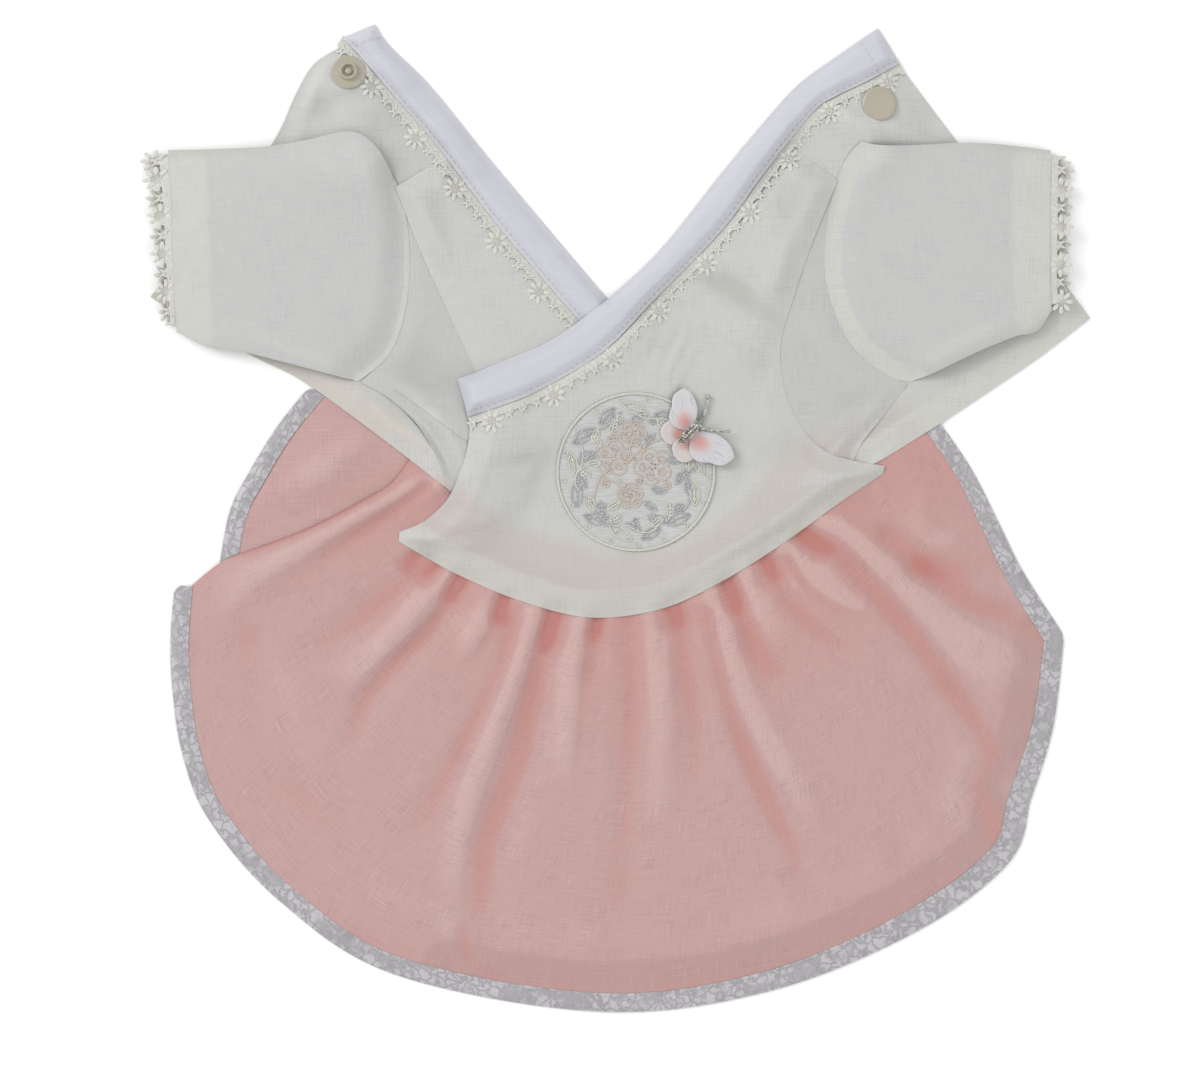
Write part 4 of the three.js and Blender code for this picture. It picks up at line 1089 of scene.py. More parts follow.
lace_net = Finish("lace net", roughness=0.9)
net_cells = lace_net.add("ShaderNodeTexVoronoi", feature="DISTANCE_TO_EDGE")
net_cells.inputs["Scale"].default_value = 900
lace_net.link(lace_net.mapped("Object"), net_cells.inputs["Vector"])
net_threads = lace_net.between(net_cells.outputs["Distance"], 0.05, 0.2, 1.0, 0.0)
lace_net.colour(lace_net.mixed(net_threads, tone(206, 206, 199), tone(215, 215, 208)))
lace_net.bump(net_threads, 0.0001, 0.8)

petal = moved(bead, x=2.95, size=(1.5, 0.8, 0.2))
pistil = moved(bead, x=1.25, size=(0.55, 0.2, 0.18))
daisy = joined(*[moved(petal, turn=math.pi * k / 4) for k in range(8)],
               *[moved(pistil, turn=math.pi * (k + 0.5) / 4, z=0.05) for k in range(8)],
               moved(ring, size=(0.62, 0.62, 0.45), z=0.05))
leaf = moved(bead, x=1.1, size=(1.2, 0.4, 0.18))
leaves = [moved(leaf, turn=a, x=0.4 * math.cos(a), y=0.4 * math.sin(a)) for a in (0.5, -0.5, 2.3, -2.3)]
small_ring = joined(moved(ring, size=(0.95, 0.95, 0.45)), *leaves)
print("one daisy has", len(daisy[1]), "faces")


def scallop(distance, repeat, rings):
    """How wide the net is: a narrow ribbon that swells under each figure, so the petals stand free of it."""
    along = np.mod(distance, repeat)
    reach = np.full(along.shape, LACE_RIBBON)
    for at, radius in [(0, DAISY_RADIUS), (1, DAISY_RADIUS)] + [(at, RING_RADIUS) for at in rings]:
        off = np.abs(along - at * repeat) / (0.6 * radius)
        bulge = 2 + radius * (0.4 + 0.45 * np.sqrt(np.maximum(1 - off**2, 0)))
        reach = np.where(off < 1, np.maximum(reach, bulge), reach)
    return reach


def lace(name, solid, line, start, tuck=1.6, widths=(1, 1), height=None, repeat=LACE_REPEAT, rings=RINGS_AT):
    """Lace along a line, on the left of its direction.

    tuck is how far the net goes on under its neighbour, and widths is how wide it lies at its start and its end,
    where it may be turned under. Where no cloth carries it, height says how high each of its points is.
    """
    steps = int(length_of(line) / 0.7)
    line = evenly(line, steps)
    far = np.linspace(0, length_of(line), steps + 1) - start
    out = sideways(line)
    narrow = np.linspace(*widths, steps + 1)
    strip = ribbon(line - tuck * out, line + out * (scallop(far, repeat, rings) * narrow)[:, None], 8)
    low = height(strip) if height else soften(laid.read(strip), 2) + 0.2
    net = lay(name, solid, strip, wall=0.15, droop=0, soften_by=0, sink=0, low=low, free=height is not None)
    paint(net, lace_net)
    motifs = []
    for k in range(-1, int(far[-1] / repeat) + 2):
        for at, radius, model in [(0, DAISY_RADIUS, daisy)] + [(at, RING_RADIUS, small_ring) for at in rings]:
            place = (k + at) * repeat
            if not far[0] + radius * 0.5 <= place <= far[-1] + radius * 0.3:
                continue
            i = int(np.argmin(np.abs(far - place)))
            middle = line[i] + out[i] * (2 + 0.4 * radius) * narrow[i]
            turn = math.atan2(out[i][1], out[i][0]) + random.uniform(-TWIST, TWIST)
            figure = moved(model, *middle, 0, turn, (narrow[i], 1, 1))
            if height:
                figure = moved(figure, z=float(height(middle[None])[0]) + 0.1)
            motifs.append(figure)
    figures = joined(*motifs)
    cords = made(name + "_cords", figures if height else moulded(figures, 0.08), lace_cord)
    return net, cords


# %% [markdown]
# The cuff lace is the same lace, sewn inside each layer of the flat cuff. It is crowded to fit, with a single ring
# between two daisies, and the two rows lie half a repeat apart, so that one fills the gaps of the other.

# %% Lace at the cuffs
CUFF_REPEAT, CUFF_START = 13.5, 5
CUFF_BOTTOM = 0.6  # how high the lower layer lies


def cuff_lace(side, way, widths):
    """Both rows of a cuff's lace. `way` is 1 for a cuff that points to the right and -1 to the left."""
    column = sleeve_grids[side][:, 0 if way < 0 else -1]
    line = evenly(column, 112)[4:-4]  # it stops short of the rolls at both sides
    low_y, high_y = min(column[0, 1], column[-1, 1]), max(column[0, 1], column[-1, 1])
    order = np.argsort(column[:, 1])
    at_y, edge_x = column[order, 1], column[order, 0]
    cuff_top = laid.read(column[order] - [1.5 * way, 0], 0)

    def height_of(layer):
        def height(at):
            across = np.clip(2 * (at[..., 1] - low_y) / (high_y - low_y) - 1, -0.97, 0.97)
            top = np.interp(at[..., 1], at_y, cuff_top)
            middle = (top + CUFF_BOTTOM) / 2
            half = (top - CUFF_BOTTOM) / 2 * (1 - across**2) ** (ROUNDNESS / 2)
            reach = np.maximum(way * (at[..., 0] - np.interp(at[..., 1], at_y, edge_x)), 0)
            return middle + layer * half - 0.25 * layer - 0.06 * reach * (layer > 0)
        return height

    if way > 0:
        line = line[::-1]
    return [lace(f"cuff_lace_{side}_{word}_net", f"cuff_lace_{side}_{word}", line, start, 1.0, widths,
                 height_of(layer), CUFF_REPEAT, (0.5,))
            for word, layer, start in (("lower", -1, CUFF_START), ("upper", 1, CUFF_START + CUFF_REPEAT / 2))]


cuff_laces = cuff_lace("left", -1, (0.75, 1.3)) + cuff_lace("right", 1, (1.1, 0.95))
print("cuff laces:", len(cuff_laces))

# %% [markdown]
# ## The collar bands
# The collar of a hanbok, the git, is a straight faced band. It is pressed, so it is smoother and thicker than the
# sheer cloth, with rounded folds along both long sides and a seam that sinks in just inside its outer edge.

# %% Collar cloth
COLLAR_RIGHT = {
    "inner": [[-56.8, 50], [-49.7, 52.3], [-36, 58], [-22.7, 64], [-2.8, 78.5], [16.3, 96.6], [37, 122.5],
              [55.4, 144.5], [65.3, 155], [79.2, 165], [93, 174.6]],
    "outer": [[-52.9, 36.2], [-41.2, 40], [-28, 45.5], [-5, 59.3], [13.8, 78.5], [37, 102.3], [53.2, 124.2],
              [69.6, 144.5], [77.4, 150], [88, 155], [100.5, 162]],
}
COLLAR_LEFT = {
    "inner": [[4, 69.5], [-3.2, 78], [-24, 102.6], [-47.2, 130.3], [-66.4, 154], [-81, 168.5], [-86, 176]],
    "outer": [[-8, 64.5], [-21.7, 80], [-43.3, 105.5], [-63.2, 131.7], [-80.2, 151.6], [-94, 167.5],
              [-98, 170.8]],
}
collar_white = Finish("white collar cloth", roughness=0.75, sheen=0.2)
collar_threads, collar_slubs, _ = collar_white.weave(1800)
collar_shade = collar_white.maths("ADD", collar_white.maths("MULTIPLY", collar_slubs, 0.08),
                                  collar_white.maths("MULTIPLY", collar_threads, 0.03))
collar_white.colour(collar_white.mixed(collar_white.between(collar_shade, 0.0, 0.11), tone(198, 198, 207),
                                       tone(209, 209, 218)))
collar_white.bump(collar_threads, 0.00005, 0.5)


COLLAR_ROLL = 1.6  # the reach of the rounded folds at its edges


def collar(side, cut, way, first_daisy):
    """A collar band, the lace that is sewn under its outer edge, and both rows of its stitches."""
    inner, outer = edge([cut["inner"]], 220), edge([cut["outer"]], 220)
    grid = ribbon(inner, outer, 16)
    from_outer, from_inner = distance_to(grid, thinned(outer)), distance_to(grid, thinned(inner))
    ends = np.minimum(distance_to(grid, grid[:, 0]), distance_to(grid, grid[:, -1]))
    seam = -0.16 * np.exp(-(((from_outer - 2.0) / 0.45) ** 2)) - 0.12 * np.exp(-(((ends - 3.4) / 0.4) ** 2))
    top = soften(heights_on(solid_faces(f"collar_{side}"), grid), 12) + seam
    top -= rolled_under(from_outer, 0.4, COLLAR_ROLL)
    top -= rolled_under(from_inner, 0.6, COLLAR_ROLL) + rolled_under(ends, 0.4, COLLAR_ROLL)
    share = np.linspace(0, 1, grid.shape[1])
    top += 0.18 * np.sin(17 * share + way)[None] * np.sin(np.linspace(0.4, 2.7, len(grid)))[:, None]
    far_line = evenly(smooth_line(cut["outer"]), 400)
    line = far_line if way > 0 else far_line[::-1]
    net, cords = lace(f"collar_lace_{side}_net", f"collar_lace_{side}", line + 0.3 * sideways(line), first_daisy)
    band = lay(f"collar_{side}_band", f"collar_{side}", grid, wall=0.25, droop=4, soften_by=0, sink=1.0, low=top)
    paint(band, collar_white)
    inside = evenly(outer + (inner - outer) * 0.1, 200)
    seam_row = stitches(f"collar_{side}_stitches", inside, thread)
    tie = evenly(ribbon(inner, outer, 8)[:, -10 if side == "right" else -9], 20)
    tie_row = stitches(f"collar_{side}_end_stitches", tie, thread)
    return band, net, cords, seam_row, tie_row


# %% The upper back: under panel, left collar, over panel, right collar
under_grid = panel(PANEL_UNDER, 60, 90)
panel_under = lay("panel_under", "back_panel_under", under_grid, folds=[
    dict(crest=[[-36, 40], [-44, 62], [-54, 84]], height=0.5, soft=5, steep=5, end=0.2)])
paint(panel_under, ivory)
left_collar = collar("left", COLLAR_LEFT, 1, 1.6)
over_grid = panel(PANEL_OVER, 130, 110)
panel_over = lay("panel_over", "back_panel_over", over_grid, hems=[(over_grid[0], 9.5)], folds=[
    dict(crest=[[28, 87], [41, 82], [50, 76], [61, 69]], height=-1.7, soft=4.5, steep=4.5, dip=0, end=0.6),
    dict(crest=[[56, 61], [50, 52], [46, 41]], height=-0.8, soft=4, steep=4, dip=0, end=0.2),
    dict(crest=[[52, 112], [56, 96], [58, 80], [60, 70]], height=1.1, soft=7, steep=5, end=0.2),
    dict(crest=[[33, 71], [44, 67], [55, 63], [63, 58]], height=1.2, soft=4, steep=4, end=0.4),
    dict(crest=[[-6, 55], [-22, 44], [-38, 30]], height=0.5, soft=8, steep=8, end=0.2),
    dict(crest=[[70, 112], [60, 92], [50, 74], [40, 60]], height=0.9, soft=6, steep=7, end=0.2),
    dict(crest=[[90, 20], [76, 15], [62, 14], [50, 18]], height=0.8, soft=5, steep=4, end=0.2),
    dict(crest=[[60, 40], [50, 32], [44, 24]], height=0.5, soft=5, steep=5, end=0.2),
    dict(crest=[[-74, -6], [-62, -8], [-46, -16], [-30, -22]], height=0.5, soft=5, steep=5, end=0.2)])
paint(panel_over, ivory)
right_collar = collar("right", COLLAR_RIGHT, -1, 7.2)
print("back closed, highest", round(float(laid.cells.max()), 1), "mm")

# %% [markdown]
# ## Snap fasteners
# A plastic snap is pressed through the cloth: a smooth, slightly dished cap on one face, and a socket or stud
# on the other. Each half is turned, so one profile is drawn and spun round its axis.

# %% Turned pieces
plastic = Finish("warm white plastic", roughness=0.35, coat=0.2)
plastic_cloud = plastic.noise(plastic.mapped("Object"), 120)
plastic.colour(plastic.mixed(plastic_cloud, tone(172, 165, 147), tone(184, 178, 161)))


def turned(profile, steps=48):
    """The points and faces of a profile [radius, height], spun once round the Z axis."""
    bpy.ops.object.select_all(action="DESELECT")
    mesh = bpy.data.meshes.new("profile")
    mesh.from_pydata([(r, 0, z) for r, z in profile], [(k, k + 1) for k in range(len(profile) - 1)], [])
    obj = bpy.data.objects.new("profile", mesh)
    bpy.context.scene.collection.objects.link(obj)
    bpy.context.view_layer.objects.active = obj
    obj.select_set(True)
    bpy.ops.object.mode_set(mode="EDIT")
    bpy.ops.mesh.select_all(action="SELECT")
    bpy.ops.mesh.spin(steps=steps, angle=2 * math.pi, center=(0, 0, 0), axis=(0, 0, 1))
    bpy.ops.mesh.select_all(action="SELECT")
    bpy.ops.mesh.remove_doubles(threshold=0.0005)
    bpy.ops.mesh.normals_make_consistent(inside=False)
    bpy.ops.object.mode_set(mode="OBJECT")
    return modelled(obj)


CAP = [[0, 0], [5.6, 0], [6.0, 0.15], [6.15, 0.5], [6.05, 0.9], [5.7, 1.25], [5.2, 1.4], [4.4, 1.25], [3, 1.12],
       [1.4, 1.05], [0, 1.03]]
SOCKET = [[0, 0], [5.7, 0], [6.1, 0.25], [6.15, 0.6], [5.9, 0.85], [4.2, 0.95], [3.5, 1.1], [3.3, 1.5], [3.2, 2.3],
          [3.0, 2.5], [2.5, 2.5], [2.3, 2.3], [2.2, 1.2], [1.7, 1.1], [1.3, 1.3], [1.1, 1.9], [0.6, 2.15], [0, 2.2]]
cap, socket = turned(CAP), turned(SOCKET)
ticks = joined(*[moved(bead, 2.75 * math.cos(a), 2.75 * math.sin(a), 2.45, a, (0.5, 0.22, 0.16))
                 for a in (0.5, 2.07, 3.64, 5.21)])
knurl = joined(*[moved(bead, 5.2 * math.cos(a), 5.2 * math.sin(a), 0.85, a, (0.4, 0.16, 0.14))
                 for a in np.linspace(0, 2 * math.pi, 28, endpoint=False)])
print("cap", len(cap[1]), "faces, socket", len(socket[1]))


def snap(name, solid, model, tilt=0.0, upper=False):
    """A half of a snap, on the table or, where it is an upper one, on the cloth that it is pressed through."""
    x, y, bottom = middle_of(solid)
    place = np.array([x, y]) - MIDDLE
    if upper:
        bottom = float(laid.read(place[None], 0)[0]) + 0.03
    points = model[0].copy()
    c, s = math.cos(tilt), math.sin(tilt)
    points[:, 1], points[:, 2] = c * points[:, 1] - s * points[:, 2], s * points[:, 1] + c * points[:, 2]
    obj = made(name, (points + [*place, bottom], model[1]), plastic, 30)
    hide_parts(solid)
    return obj


snaps = [
    snap("snap_left_cap_turned", "snap_left_cap", cap),
    snap("snap_right_socket_turned", "snap_right_socket", joined(socket, ticks, knurl)),
    snap("snap_left_socket_turned", "snap_left_socket", joined(socket, ticks, knurl), TILT_LEFT, True),
    snap("snap_right_cap_turned", "snap_right_cap", cap, 0, True),
]

# %% [markdown]
# ## The embroidered patch
# A round of satin is worked with outline stitch, edged with a twisted cord and sewn flat on the back. The figures
# are a branch of plum blossom in its middle, and leaves, ferns and berries round it. A square grid that is pressed
# into a circle gives a disc with no pole in its middle.

# %% Satin and threads
def twisted_cord(line, radius, turns_per_mm=0.0, lobes=0, sides=8, closed=False):
    """A cord along a line. With lobes it is a cord of so many strands, which wind round each other."""
    count = len(line) - (1 if closed else 0)
    points = line[:count]
    ahead = np.roll(points, -1, 0) if closed else np.vstack([points[1:], points[-1:]])
    behind = np.roll(points, 1, 0) if closed else np.vstack([points[:1], points[:-1]])
    way = ahead - behind
    way /= np.maximum(np.linalg.norm(way, axis=1)[:, None], 1e-9)
    side = np.cross(way, [0, 0, 1.0])
    side /= np.maximum(np.linalg.norm(side, axis=1)[:, None], 1e-9)
    up = np.cross(side, way)
    far = np.concatenate([[0], np.cumsum(np.linalg.norm(np.diff(points, axis=0), axis=1))])[:, None]
    turn = np.linspace(0, 2 * np.pi, sides, endpoint=False)[None]
    size = radius * (1 + (0.16 * np.cos(lobes * turn - 2 * np.pi * turns_per_mm * far) if lobes else 0 * far))
    mesh = points[:, None] + side[:, None] * (size * np.cos(turn))[..., None] + up[:, None] * (
        size * np.sin(turn))[..., None]
    at = np.arange(count * sides).reshape(count, sides)
    nxt = np.roll(at, -1, 1)
    a, b = (at, nxt) if closed else (at[:-1], nxt[:-1])
    c, d = (np.roll(nxt, -1, 0), np.roll(at, -1, 0)) if closed else (nxt[1:], at[1:])
    faces = np.stack([a, b, c, d], -1).reshape(-1, 4).tolist()
    if not closed:
        faces += [at[0, ::-1].tolist(), at[-1].tolist()]
    return mesh.reshape(-1, 3), faces


SATIN_TURN = math.radians(24)
satin = Finish("patch satin", roughness=0.5, sheen=0.1)
satin_stitch = satin.wave(satin.mapped("UV", turn=SATIN_TURN), 1700, "Y", 1.2)
satin_slub = satin.noise(satin.mapped("UV", (200, 2600, 1), SATIN_TURN), 1.0)
satin.colour(satin.mixed(satin.between(satin_slub, 0.3, 0.7), tone(188, 188, 186), tone(208, 208, 207)))
satin.bump(satin.maths("ADD", satin_stitch, satin_slub), 0.00012, 0.6)


def floss(name, dark, light):
    f = Finish(name, roughness=0.6, sheen=0.1)
    grain = f.noise(f.mapped("Object"), 1600)
    f.colour(f.mixed(f.between(grain, 0.35, 0.65), dark, light))
    f.bump(grain, 0.0001, 0.7)
    return f


floss_grey = floss("grey floss", tone(164, 165, 167), tone(194, 195, 196))
floss_cream = floss("cream floss", tone(203, 203, 189), tone(214, 214, 205))
floss_peach = floss("peach floss", tone(199, 182, 168), tone(214, 199, 187))

PATCH_MIDDLE, PATCH_RADIUS = np.array([6.7, 16.7]), 27.8
PATCH_RISE = 0.6  # the satin and its backing
u, v = np.meshgrid(np.linspace(-1, 1, 91), np.linspace(-1, 1, 91))
disc = np.stack([u * np.sqrt(1 - v**2 / 2), v * np.sqrt(1 - u**2 / 2)], -1)
patch_grid = disc * PATCH_RADIUS + PATCH_MIDDLE
patch = lay("patch_satin", "medallion", patch_grid, wall=0.3, low=soften(laid.read(patch_grid), 10) + PATCH_RISE,
            sink=0, droop=2.5, soften_by=0)
paint(patch, satin)
print("patch:", round(2 * PATCH_RADIUS), "mm across")

# %% [markdown]
# Each figure is a line of floss on the satin. A leaf is a pointed loop with a rib, a fern is a rib with curled
# leaflets, a blossom is five loops with stamens and a berry is a ring.

# %% The embroidered figures
def placed(lines, x, y, turn):
    return [spun(line, turn) + [x, y] for line in lines]


def leaf_lines(x, y, length, turn, veins=1):
    t = np.linspace(0, 1, 22)
    bow = 0.2 * length * np.sin(np.pi * t) ** 0.8 * (1 + 0.1 * np.cos(6 * np.pi * t))
    upper = np.c_[(t - 0.5) * length, bow]
    loop = np.vstack([upper, (upper * [1, -1])[-2::-1]])
    rib = np.c_[(t - 0.5) * length * 0.8, 0.02 * length * np.sin(np.pi * t)]
    side = [np.array([[k, 0], [k + 0.1 * length, way * 0.1 * length]])
            for k in np.linspace(-0.25, 0.12, veins) * length for way in (-1, 1)]
    return placed([loop, rib, *side], x, y, turn)


def fern_lines(x, y, length, turn, pairs=3):
    t = np.linspace(0, 1, 20)
    rib = np.c_[t * length, 0.08 * length * np.sin(np.pi * t)]
    lines = [rib]
    for k in range(pairs):
        at = rib[4 + 4 * k]
        a = np.linspace(0, 1.35 * np.pi, 10)
        size = 0.17 * length * (1 - 0.14 * k)
        for way in (-1, 1):
            lines.append(at + np.c_[np.sin(a), way * (1 - np.cos(a))] * size * np.linspace(1, 0.55, 10)[:, None])
    return placed(lines, x, y, turn)


def blossom(x, y, size, turn):
    lines = []
    a = np.linspace(-0.62, 0.62, 16)
    for k in range(5):
        for scale in (1, 0.72):
            reach = size * scale * (0.35 + 0.65 * np.cos(a * 2.2) ** 0.35)
            petal_loop = np.c_[np.cos(a * scale), np.sin(a * scale)] * reach[:, None]
            lines += placed([petal_loop], x, y, turn + k * 2 * math.pi / 5)
        lines += placed([np.array([[0.12, 0.0], [0.5, bend * 0.5]]) * size for bend in (-0.25, 0, 0.25)], x, y,
                        turn + k * 2 * math.pi / 5)
    return lines


def tendril(x, y, size, turn):
    a = np.linspace(0, 3 * np.pi, 30)
    return placed([np.c_[np.cos(a), np.sin(a)] * (size * (1 - 0.25 * a / np.pi))[:, None]], x, y, turn)


def ring_of(count, radius, start):
    """So many places round the patch, each with its angle."""
    angles = start + np.arange(count) * 2 * math.pi / count
    return [(radius * math.cos(a), radius * math.sin(a), a) for a in angles]


PEACH = (blossom(-8, 5, 6.4, 0.2) + blossom(6, 2, 6.8, 0.7) + blossom(-1, 14, 4.8, 1.1) + blossom(-2, -8.5, 4.6, 0.4)
         + blossom(14.5, 11, 4, 0.1) + [smooth_line([[-15, -9], [-12, -1], [-3, 4], [3, 9], [9, 12], [13, 15]], 8),
                                        smooth_line([[-3, 4], [-2, 9], [-1, 12]], 8),
                                        smooth_line([[-12, -1], [-6, -5], [-2, -8]], 8)])
GREY, CREAM = [], []
BERRIES = [(x, y) for x, y, _ in ring_of(17, 25.8, 0.3)]
for k, (x, y, a) in enumerate(ring_of(13, 22.4, 0.12)):
    (GREY if k % 3 else CREAM).extend(leaf_lines(x, y, 9.4 if k % 2 else 8, a + math.pi / 2 + 0.35 * (-1) ** k))
for k, (x, y, a) in enumerate(ring_of(11, 16.2, 0.4)):
    if math.hypot(x - 14.5, y - 11) > 6 and math.hypot(x + 1, y - 14) > 5:
        (CREAM if k % 2 else GREY).extend(fern_lines(x, y, 6.2, a + 0.9 * (-1) ** k))
for k, (x, y, a) in enumerate(ring_of(14, 19.3, 0.62)):
    (CREAM if k % 3 == 1 else GREY).extend(leaf_lines(x, y, 5.6, a + 1.9 * (-1) ** k, 0))
for x, y in ((-15, 3), (-14, 11), (15.5, -2), (8, -6.5), (13, 4), (5, 11.5), (-8, -12), (5, -12)):
    (GREY if x > 0 else CREAM).extend(leaf_lines(x, y, 5.4, 0.4 * x + y, 0))
for k in range(7):  # winding stems between the leaves
    a = np.linspace(0, 0.75, 20) + 0.9 * k
    reach = 20.6 + 1.3 * np.sin(8 * a)
    (CREAM if k % 2 else GREY).append(np.c_[reach * np.cos(a), reach * np.sin(a)])
for x, y, size, turn in ((-16, -11, 2.0, 1), (14, 17.5, 1.8, 5), (-10.5, -4, 1.7, 2), (1, -3.6, 1.5, 0),
                         (11, -4.5, 1.6, 4), (-8, 12.5, 1.9, 3), (2.6, 8.2, 1.4, 1), (-1, 5.2, 1.2, 2)):
    PEACH.extend(tendril(x, y, size, turn))
for x, y, size, turn in ((-12.5, -15, 1.7, 0), (10, -17, 1.8, 2), (17.5, 3, 1.5, 4), (-18.5, 6, 1.6, 1),
                         (6, 18.5, 1.6, 3), (-6, 19, 1.5, 5), (0, -18, 1.6, 1), (-6, -3, 1.3, 3)):
    (GREY if size > 1.55 else CREAM).extend(tendril(x, y, size, turn))


FLOSS_HEIGHT, FLOSS_STEP = 0.14, 0.5


def on_patch(line):
    line = evenly(line, max(3, int(length_of(line) / FLOSS_STEP))) + PATCH_MIDDLE
    return np.c_[line, laid.read(line, 0) + FLOSS_HEIGHT]


def floss_lines(name, lines, radius, finish):
    cords = joined(*[twisted_cord(on_patch(line), radius, sides=6) for line in lines])
    return made(name, cords, finish, 80)


around = np.linspace(0, 2 * np.pi, 361)
rim_line = PATCH_MIDDLE + PATCH_RADIUS * np.c_[np.cos(around), np.sin(around)]
just_inside = rim_line * 0.995 + PATCH_MIDDLE * 0.005
rim_line = np.c_[rim_line, laid.read(just_inside, 1) + 0.1]
berries = joined(*[moulded(moved(ring, *(PATCH_MIDDLE + spot), 0, 0, (0.75, 0.75, 0.6)), FLOSS_HEIGHT)
                   for spot in BERRIES])
patch_sewing = [
    floss_lines("patch_grey_floss", GREY, 0.3, floss_grey),
    floss_lines("patch_cream_floss", CREAM, 0.3, floss_cream),
    floss_lines("patch_peach_floss", PEACH, 0.27, floss_peach),
    made("patch_berries", berries, floss_cream),
    made("patch_rim_cord", twisted_cord(rim_line, 0.42, 0.5, 3, 12, True), floss_cream, 80),
]
print("figures:", len(GREY) + len(CREAM) + len(PEACH), "lines of floss")

# %% [markdown]
# ## The butterfly
# Its four wings are embroidered cloth, cut out and sewn on only at the body, so they stand a little off the back,
# the forewings over the hindwings. Close satin stitches fan out from the body, in coral that turns to white. The
# body and the two feelers are strings of silver-lined beads.

# %% Wings
FOREWING = {"bottom": [[[0, -0.05], [0.2, -0.17], [0.5, -0.24], [0.8, -0.17], [0.95, -0.05]]],
            "right": [[[0.95, -0.05], [1.0, 0.05], [0.95, 0.16]]],
            "top": [[[0, 0.07], [0.1, 0.3], [0.26, 0.43], [0.43, 0.43], [0.58, 0.36], [0.76, 0.33], [0.88, 0.27],
                     [0.95, 0.16]]],
            "left": [[[0, -0.05], [0, 0.07]]]}
HINDWING = {"bottom": [[[0, -0.05], [0.2, -0.36], [0.5, -0.5], [0.78, -0.36]]],
            "right": [[[0.78, -0.36], [0.9, -0.22], [0.98, 0], [0.92, 0.2], [0.8, 0.36]]],
            "top": [[[0, 0.05], [0.2, 0.34], [0.5, 0.48], [0.8, 0.36]]],
            "left": [[[0, -0.05], [0, 0.05]]]}
BUTTERFLY, WING_WALL = np.array([25.6, 30.4]), 0.25
WINGS = [  # the hindwings first, because the forewings lie on them; turn is in degrees
    dict(name="hindwing_left", cut=HINDWING, turn=176, length=9.4, flip=1),
    dict(name="hindwing_right", cut=HINDWING, turn=256, length=9.8, flip=-1),
    dict(name="forewing_left", cut=FOREWING, turn=95, length=15, flip=1),
    dict(name="forewing_right", cut=FOREWING, turn=-27, length=17, flip=-1),
]


def wing_finish(name, root, tip, reach):
    """Stitches fan out from the body; `root` colour turns to `tip` colour at the reach, round a spot of the wing."""
    f = Finish(name, roughness=0.65, sheen=0.15)
    strands = f.noise(f.mapped("UV", (1300, 150, 1)), 1.0)
    away = f.maths("ADD", f.mark("from_spot"), f.maths("MULTIPLY", f.maths("SUBTRACT", strands, 0.5), 0.35))
    colour = f.mixed(f.between(away, reach - 0.14, reach + 0.1), root, tip)
    colour = f.mixed(f.between(strands, 0.52, 0.68, 0.0, 0.55), colour, tone(172, 164, 172))
    f.colour(f.mixed(f.between(f.mark("edge_mm"), 0.3, 0.9, 0.5, 0.0), colour, tone(216, 215, 219)))
    f.bump(strands, 0.0002, 1.0)
    return f


forewing_finish = wing_finish("coral to white wing floss", tone(213, 158, 149), tone(207, 206, 209), 0.17)
hindwing_finish = wing_finish("coral to blush wing floss", tone(209, 155, 147), tone(209, 198, 196), 0.42)


def outline(grid):
    return np.vstack([grid[0], grid[1:, -1], grid[-1, -2::-1], grid[-2::-1, 0]])


def wing(name, cut, turn, length, flip):
    """A padded wing with a raised rim of stitches. It rises a little from the body to its tip."""
    local = panel(cut, 44, 34) * [length, length * flip]
    grid = spun(local + [1.0, 0], math.radians(turn)) + BUTTERFLY
    far = distance_to(grid, outline(grid))
    share = local[..., 0] / length
    spot = [0.22, 0.08 * flip] if cut is FOREWING else [0, 0]
    from_spot = np.hypot((share - spot[0]) * 0.8, local[..., 1] / length - spot[1])
    fan = np.stack([np.arctan2(local[..., 1], local[..., 0] + 0.25 * length) * length,
                    np.hypot(local[..., 0], local[..., 1])], -1)
    top = float(laid.read(grid).max()) + 0.35 + 0.2 * share + 0.25 * step(far, 0, 1.0)
    top = top + 0.12 * np.exp(-(((far - 0.6) / 0.35) ** 2))
    obj = shell(name, grid, top, WING_WALL, {"from_spot": from_spot, "edge_mm": far}, fan)
    laid.cover(grid, top)
    dress(obj, "butterfly_" + name)
    paint(obj, forewing_finish if cut is FOREWING else hindwing_finish)
    return obj


wings = [wing(**one) for one in WINGS]

# %% Beads
silver = Finish("silver-lined glass beads", roughness=0.25, metallic=0.3, coat=0.3)
glint = silver.noise(silver.mapped("Object"), 900)
silver.colour(silver.mixed(silver.between(glint, 0.38, 0.6), tone(134, 132, 120), tone(214, 213, 205)))

BODY_TURN = math.radians(-45)
flat_base = float(laid.read(BUTTERFLY + np.array([[0, 0], [2, -2], [-2, 2]])).max())
body_beads = []
for y in np.linspace(-4.4, 4.4, 10):
    half = 1.15 if -2 < y < 3.2 else 0.75  # the body is stout in its middle
    for x in (-half, 0, half):  # three beads in a row, the middle one on top
        z = flat_base + 0.6 + 0.7 * (x == 0)
        place = spun([x, y + 0.3 * (x == 0)], BODY_TURN) + BUTTERFLY
        body_beads.append(moved(bead, *place, z + 0.6, random.random(), (0.66, 0.56, 0.6)))
body = made("body_beads", joined(*body_beads), silver)
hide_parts("butterfly_body")

